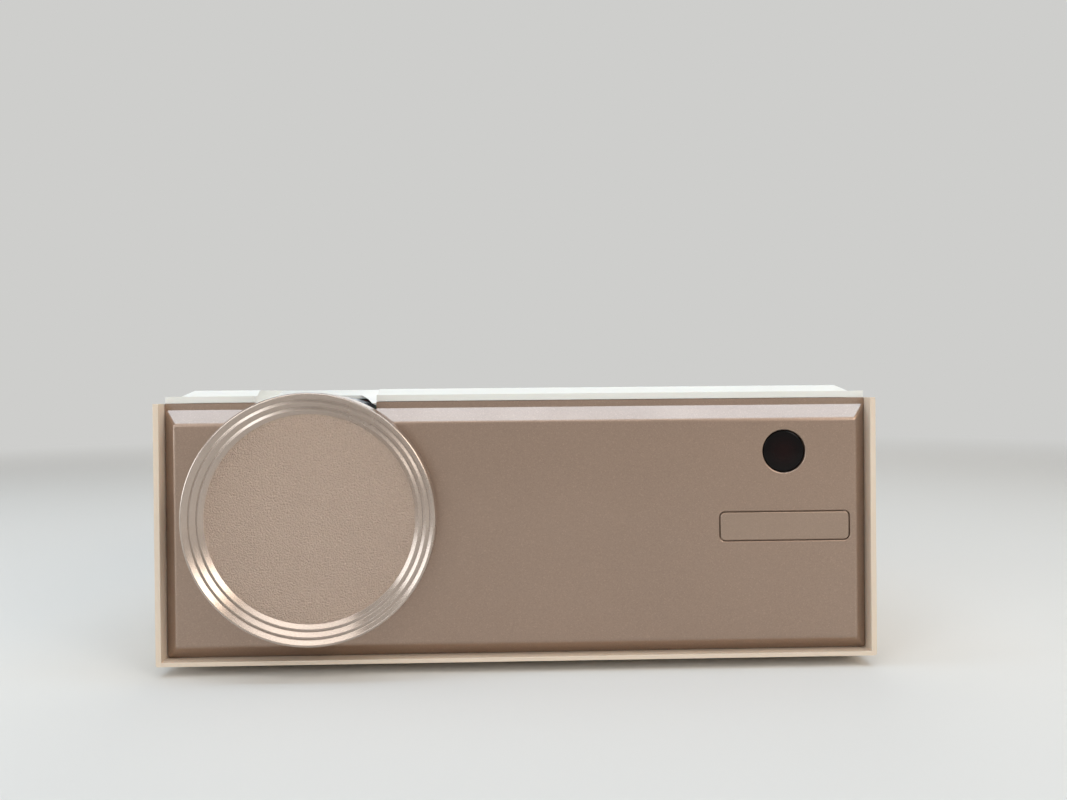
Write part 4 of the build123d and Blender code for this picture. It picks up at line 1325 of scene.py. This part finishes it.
# ---- Lens ----
@dataclass
class LensCap(Fitting):
    """A cup over the lens: a rounded rim, three stepped rings and a sunk flat disc."""

    node: str = "lens_cap"
    body: str = "cap"
    slot: str = "cap_paint"
    finishes: Names = ("cap_champagne", "cap_disc")
    rim: float = 0.9 * MM
    disc_radius: float = 37.0 * MM
    rings: int = 3
    cone: float = 1.5 * MM
    cone_drop: float = 1.3 * MM
    crest_rise: float = 0.45 * MM
    bore: float = 42.95 * MM
    front_wall: float = 1.4 * MM
    rim_round: float = 0.8 * MM
    step_round: float = 0.2 * MM
    flat_within: float = 0.05 * MM
    sides: int = 256

    @property
    def sink(self) -> float:
        """How far the disc lies behind the rim."""
        return self.cone_drop * self.rings - self.crest_rise * (self.rings - 1)

    def away(self, point: Vector) -> float:
        """How far a point lies from the cap's axis."""
        return math.hypot(point.x - self.centre.x, point.z - self.centre.z)

    def turn_rings(self, radius: float) -> None:
        """Steps the selected front face in, ring by ring, down to the disc.

        Args:
            radius: the cap's own radius.
        """
        inset(self.rim)
        crest = (radius - self.rim - self.disc_radius - self.cone * self.rings) / (self.rings - 1)
        for ring in range(self.rings):
            inset(self.cone)
            shift(y=self.cone_drop)
            if ring < self.rings - 1:
                inset(crest)
                shift(y=-self.crest_rise)

    def build(self) -> None:
        """Shapes the cap from a drum by insets, as it would be turned."""
        radius = (self.high.x - self.low.x) / 2
        self.centre.z = self.high.z - radius
        cap = add_drum("lens_cap_cup", self.centre, radius, self.high.y - self.low.y, Along.Y,
                       self.sides)
        with editing(cap):
            pick_faces(cap, faces_front)
            self.turn_rings(radius)
            pick_faces(cap, lambda place, normal: normal.y > FACING
                       and place.y > self.high.y - self.flat_within)
            inset(radius - self.bore)
            extrude(y=self.low.y + self.sink + self.front_wall - self.high.y)
            round_edges(cap, lambda a, b: all(abs(p.y - self.low.y) < SAME
                                              and abs(self.away(p) - radius) < NEAR
                                              for p in (a, b)), self.rim_round, segments=8)
            bpy.ops.mesh.select_all(action="SELECT")
            bpy.ops.mesh.normals_make_consistent(inside=False)
        soften(cap, self.step_round, segments=3, angle=20.0)
        self.install(cap)
        for face in cap.data.polygons:
            flat = abs(face.center.y - self.low.y - self.sink) < self.flat_within
            if flat and self.away(face.center) < self.disc_radius:
                face.material_index = self.finishes.index("cap_disc")


@dataclass
class FocusRing(Fitting):
    """The knurled ring that is turned through the scoop."""

    node: str = "focus_ring"
    body: str = "focus"
    slot: str = "grey_plastic"
    finishes: Names = ("focus_grey",)
    teeth: int = 60
    tooth_depth: float = 0.8 * MM
    valley_half: float = 0.3
    land: float = 1.6 * MM
    bore: float = 36.05 * MM
    edge_round: float = 0.15 * MM

    def in_valley(self, point: Vector) -> bool:
        """Tells the points of the band that lie between two ribs.

        Args:
            point: a point of the ring.

        Returns:
            Whether it is one of them.
        """
        turn = math.atan2(point.z - self.centre.z, point.x - self.centre.x) * self.teeth / math.tau
        inside = abs(point.y - self.centre.y) < (self.high.y - self.low.y - self.land) / 2
        return inside and abs(turn - round(turn)) < self.valley_half

    def build(self) -> None:
        """Shapes the ring: a sleeve with rounded ribs round its middle."""
        radius = (self.high.x - self.low.x) / 2
        width = self.high.y - self.low.y
        ring = add_drum("focus_ring_knurled", self.centre, radius, width, Along.Y, self.teeth * 4)
        shrink = 1 - self.tooth_depth / radius
        with editing(ring):
            pick_faces(ring, lambda _, normal: abs(normal.y) < 1 - FACING)
            inset(self.land)
            pick_points(ring, self.in_valley)
            bpy.ops.transform.resize(value=(shrink, 1.0, shrink), center_override=self.centre)
        drill(ring, self.centre, self.bore, width * 2, Along.Y, sides=192)
        clean(ring)
        soften(ring, self.edge_round, segments=2, angle=35.0)
        self.install(ring)


# ---- Frame nodes that keep their own shape ----
NODE_FINISHES: dict[str, tuple[str, ...]] = {
    "inner_black": ("lens_tube", "lens_barrel", "engine_case", "fan_frame", "fan_rotor",
                    "turntable", "pickup_sled", "audio_jack", "power_inlet"),
    "tray_black": ("disc_tray",),
    "bezel_silver": ("lens_bezel",),
    "plated_steel": ("case_screws", "front_foot_screw", "drive_case", "drive_lid", "deck_plate",
                     "tray_rails", "hdmi_socket", "usb_sockets", "vga_socket", "focus_pin",
                     "standoffs"),
    "bright_metal": ("guide_rods", "lead_screw", "spindle_motor", "sled_motor"),
    "turned_brass": ("tripod_insert",),
    "cast_aluminium": ("heat_sink",),
    "coated_glass": ("front_element", "rear_element", "condenser_lens", "pickup_lens"),
    "flat_glass": ("field_lens_front", "field_lens_rear", "heat_glass"),
    "image_panel": ("lcd_panel",),
    "led_yellow": ("led_module",),
    "solder_mask": ("main_board", "power_board", "key_board"),
    "cone_paper": ("speaker",),
    "foot_rubber": ("rubber_feet", "front_foot_pad"),
    "housing_cream": ("rear_panel", "tray_bezel"),
    "key_silver": ("tray_eject_button",),
}


def dress_nodes() -> None:
    """Gives every frame node that is shown as it is its finish."""
    for finish, nodes in NODE_FINISHES.items():
        material = FINISHES.get(finish)
        for node in nodes:
            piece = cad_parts[node]
            if not piece.material_slots:
                piece.data.materials.append(material)
            for slot in piece.material_slots:
                slot.material = material
        LOG.info("%s on %s", finish, ", ".join(nodes))


# ---- Studio and camera ----
@dataclass(frozen=True)
class Viewpoint:
    """The camera's place and lens, as fitted to the corners of the housing's front rim."""

    right: float = -0.83 * MM
    ahead: float = 288.05 * MM
    height: float = 95.95 * MM
    pitch: float = math.radians(0.355)
    yaw: float = math.radians(1.302)
    roll: float = math.radians(-0.527)
    focal_px: float = 801.0
    photo_width_px: float = 1067.0
    sensor_mm: float = 36.0

    def build(self) -> None:
        """Adds the camera and makes it the scene's own."""
        rim = corners("base_shell")[0]
        look = Vector((math.sin(self.yaw) * math.cos(self.pitch),
                       math.cos(self.yaw) * math.cos(self.pitch), -math.sin(self.pitch)))
        level = Vector((math.cos(self.yaw), -math.sin(self.yaw), 0.0))
        up = level.cross(look)
        side = math.cos(self.roll) * level + math.sin(self.roll) * up
        top = -math.sin(self.roll) * level + math.cos(self.roll) * up
        data = bpy.data.cameras.new("photo_camera")
        data.sensor_width = self.sensor_mm
        data.lens = self.focal_px / self.photo_width_px * self.sensor_mm
        data.clip_start = 0.01
        camera = bpy.data.objects.new("photo_camera", data)
        bpy.context.scene.collection.objects.link(camera)
        place = Matrix.Translation((self.right, rim.y - self.ahead, rim.z + self.height))
        camera.matrix_world = place @ Matrix((side, top, -look)).transposed().to_4x4()
        bpy.context.scene.camera = camera


SKY = (0.6, 0.8, 1.0)
COOL = (0.88, 0.95, 1.0)
PLAIN = (1.0, 0.98, 0.95)
WARM = (1.0, 0.84, 0.66)
FRONT_AIM = (0, -0.1, 0.06)


@dataclass(frozen=True)
class Lamp:
    """A rectangular soft lamp: where it stands, what it points at, its size, watts and colour."""

    name: str
    place: Place
    aim: Place
    size: Pair
    watts: float
    colour: Place

    def hang(self) -> None:
        """Adds the lamp."""
        data = bpy.data.lights.new(self.name, "AREA")
        data.shape = "RECTANGLE"
        data.size, data.size_y = self.size
        data.energy = self.watts
        data.color = self.colour
        lamp = bpy.data.objects.new(self.name, data)
        bpy.context.scene.collection.objects.link(lamp)
        lamp.location = self.place
        towards = Vector(self.aim) - Vector(self.place)
        lamp.rotation_euler = towards.to_track_quat("-Z", "Y").to_euler()


LAMPS = (
    Lamp("overhead", (0.0, 0.1, 1.2), (0, 0.0, 0.05), (1.4, 0.8), 1.6, PLAIN),
    Lamp("top_strip", (0.0, -0.13, 1.1), (0, -0.13, 0.05), (1.5, 0.2), 4.1, SKY),
    Lamp("front_canopy", (0.0, -0.66, 1.08), FRONT_AIM, (2.0, 0.24), 4.2, PLAIN),
    Lamp("left_front", (-0.95, -1.15, 0.7), FRONT_AIM, (0.5, 0.6), 3.6, COOL),
    Lamp("right_front", (0.95, -1.15, 0.7), FRONT_AIM, (0.5, 0.6), 3.6, PLAIN),
    Lamp("left_side", (-1.1, -0.08, 0.22), FRONT_AIM, (0.9, 0.4), 3.0, COOL),
    Lamp("right_side", (1.2, -0.7, 0.95), FRONT_AIM, (0.9, 0.7), 4.5, WARM),
    Lamp("rear_side", (0.2, 1.5, 0.8), (0, 0.1, 0.06), (1.2, 0.7), 4.0, PLAIN),
)


@dataclass(frozen=True)
class Studio:
    """A pale floor that curves up all round the object, soft lamps and the room's own light."""

    reach: float = 3.2
    wall: float = 2.6
    cove: float = 0.9
    room_colour: Place = (1.0, 0.99, 0.97, 1.0)
    room_strength: float = 0.3

    def floor(self) -> None:
        """Makes the floor and the wall round it in one curved sheet."""
        bpy.ops.mesh.primitive_circle_add(vertices=96, radius=self.reach, fill_type="NGON",
                                          location=(0, 0, 0))
        sheet = bpy.context.object
        sheet.name = "studio_floor"
        rim = self.reach - OVER
        with editing(sheet):
            pick_faces(sheet, lambda centre, normal: True)
            inset(self.cove * 2)
            pick_edges(sheet, lambda a, b: min(a.xy.length, b.xy.length) > rim)
            extrude(z=self.wall)
            round_edges(sheet, lambda a, b: min(a.xy.length, b.xy.length) > rim
                        and max(a.z, b.z) < OVER, self.cove, segments=20)
        bpy.ops.object.shade_smooth()
        sheet.data.materials.append(StudioPaper("studio_paper").make())

    def build(self) -> None:
        """Sets the floor, the lamps and the room's own light."""
        self.floor()
        for lamp in LAMPS:
            lamp.hang()
        world = bpy.data.worlds.new("room")
        bpy.context.scene.world = world
        world.use_nodes = True
        canvas = Canvas(world.node_tree)
        room = canvas.add("ShaderNodeBackground",
                          {"Color": self.room_colour, "Strength": self.room_strength})
        canvas.add("ShaderNodeOutputWorld", {"Surface": room.outputs[0]})
        bpy.context.scene.view_settings.view_transform = "Standard"


def main() -> None:
    """Builds the camera, the object's pieces and the studio."""
    logging.basicConfig(level=logging.INFO, format="%(name)s %(message)s")
    Viewpoint().build()
    for fitting in (HousingShell(), FrontPanel(), BadgePlate(), SensorWindow(), TopCover(),
                    *(KeyCap(node) for node in KEY_NODES), LensCap(), FocusRing()):
        fitting.build()
    dress_nodes()
    Studio().build()


if __name__ == "__main__":
    main()
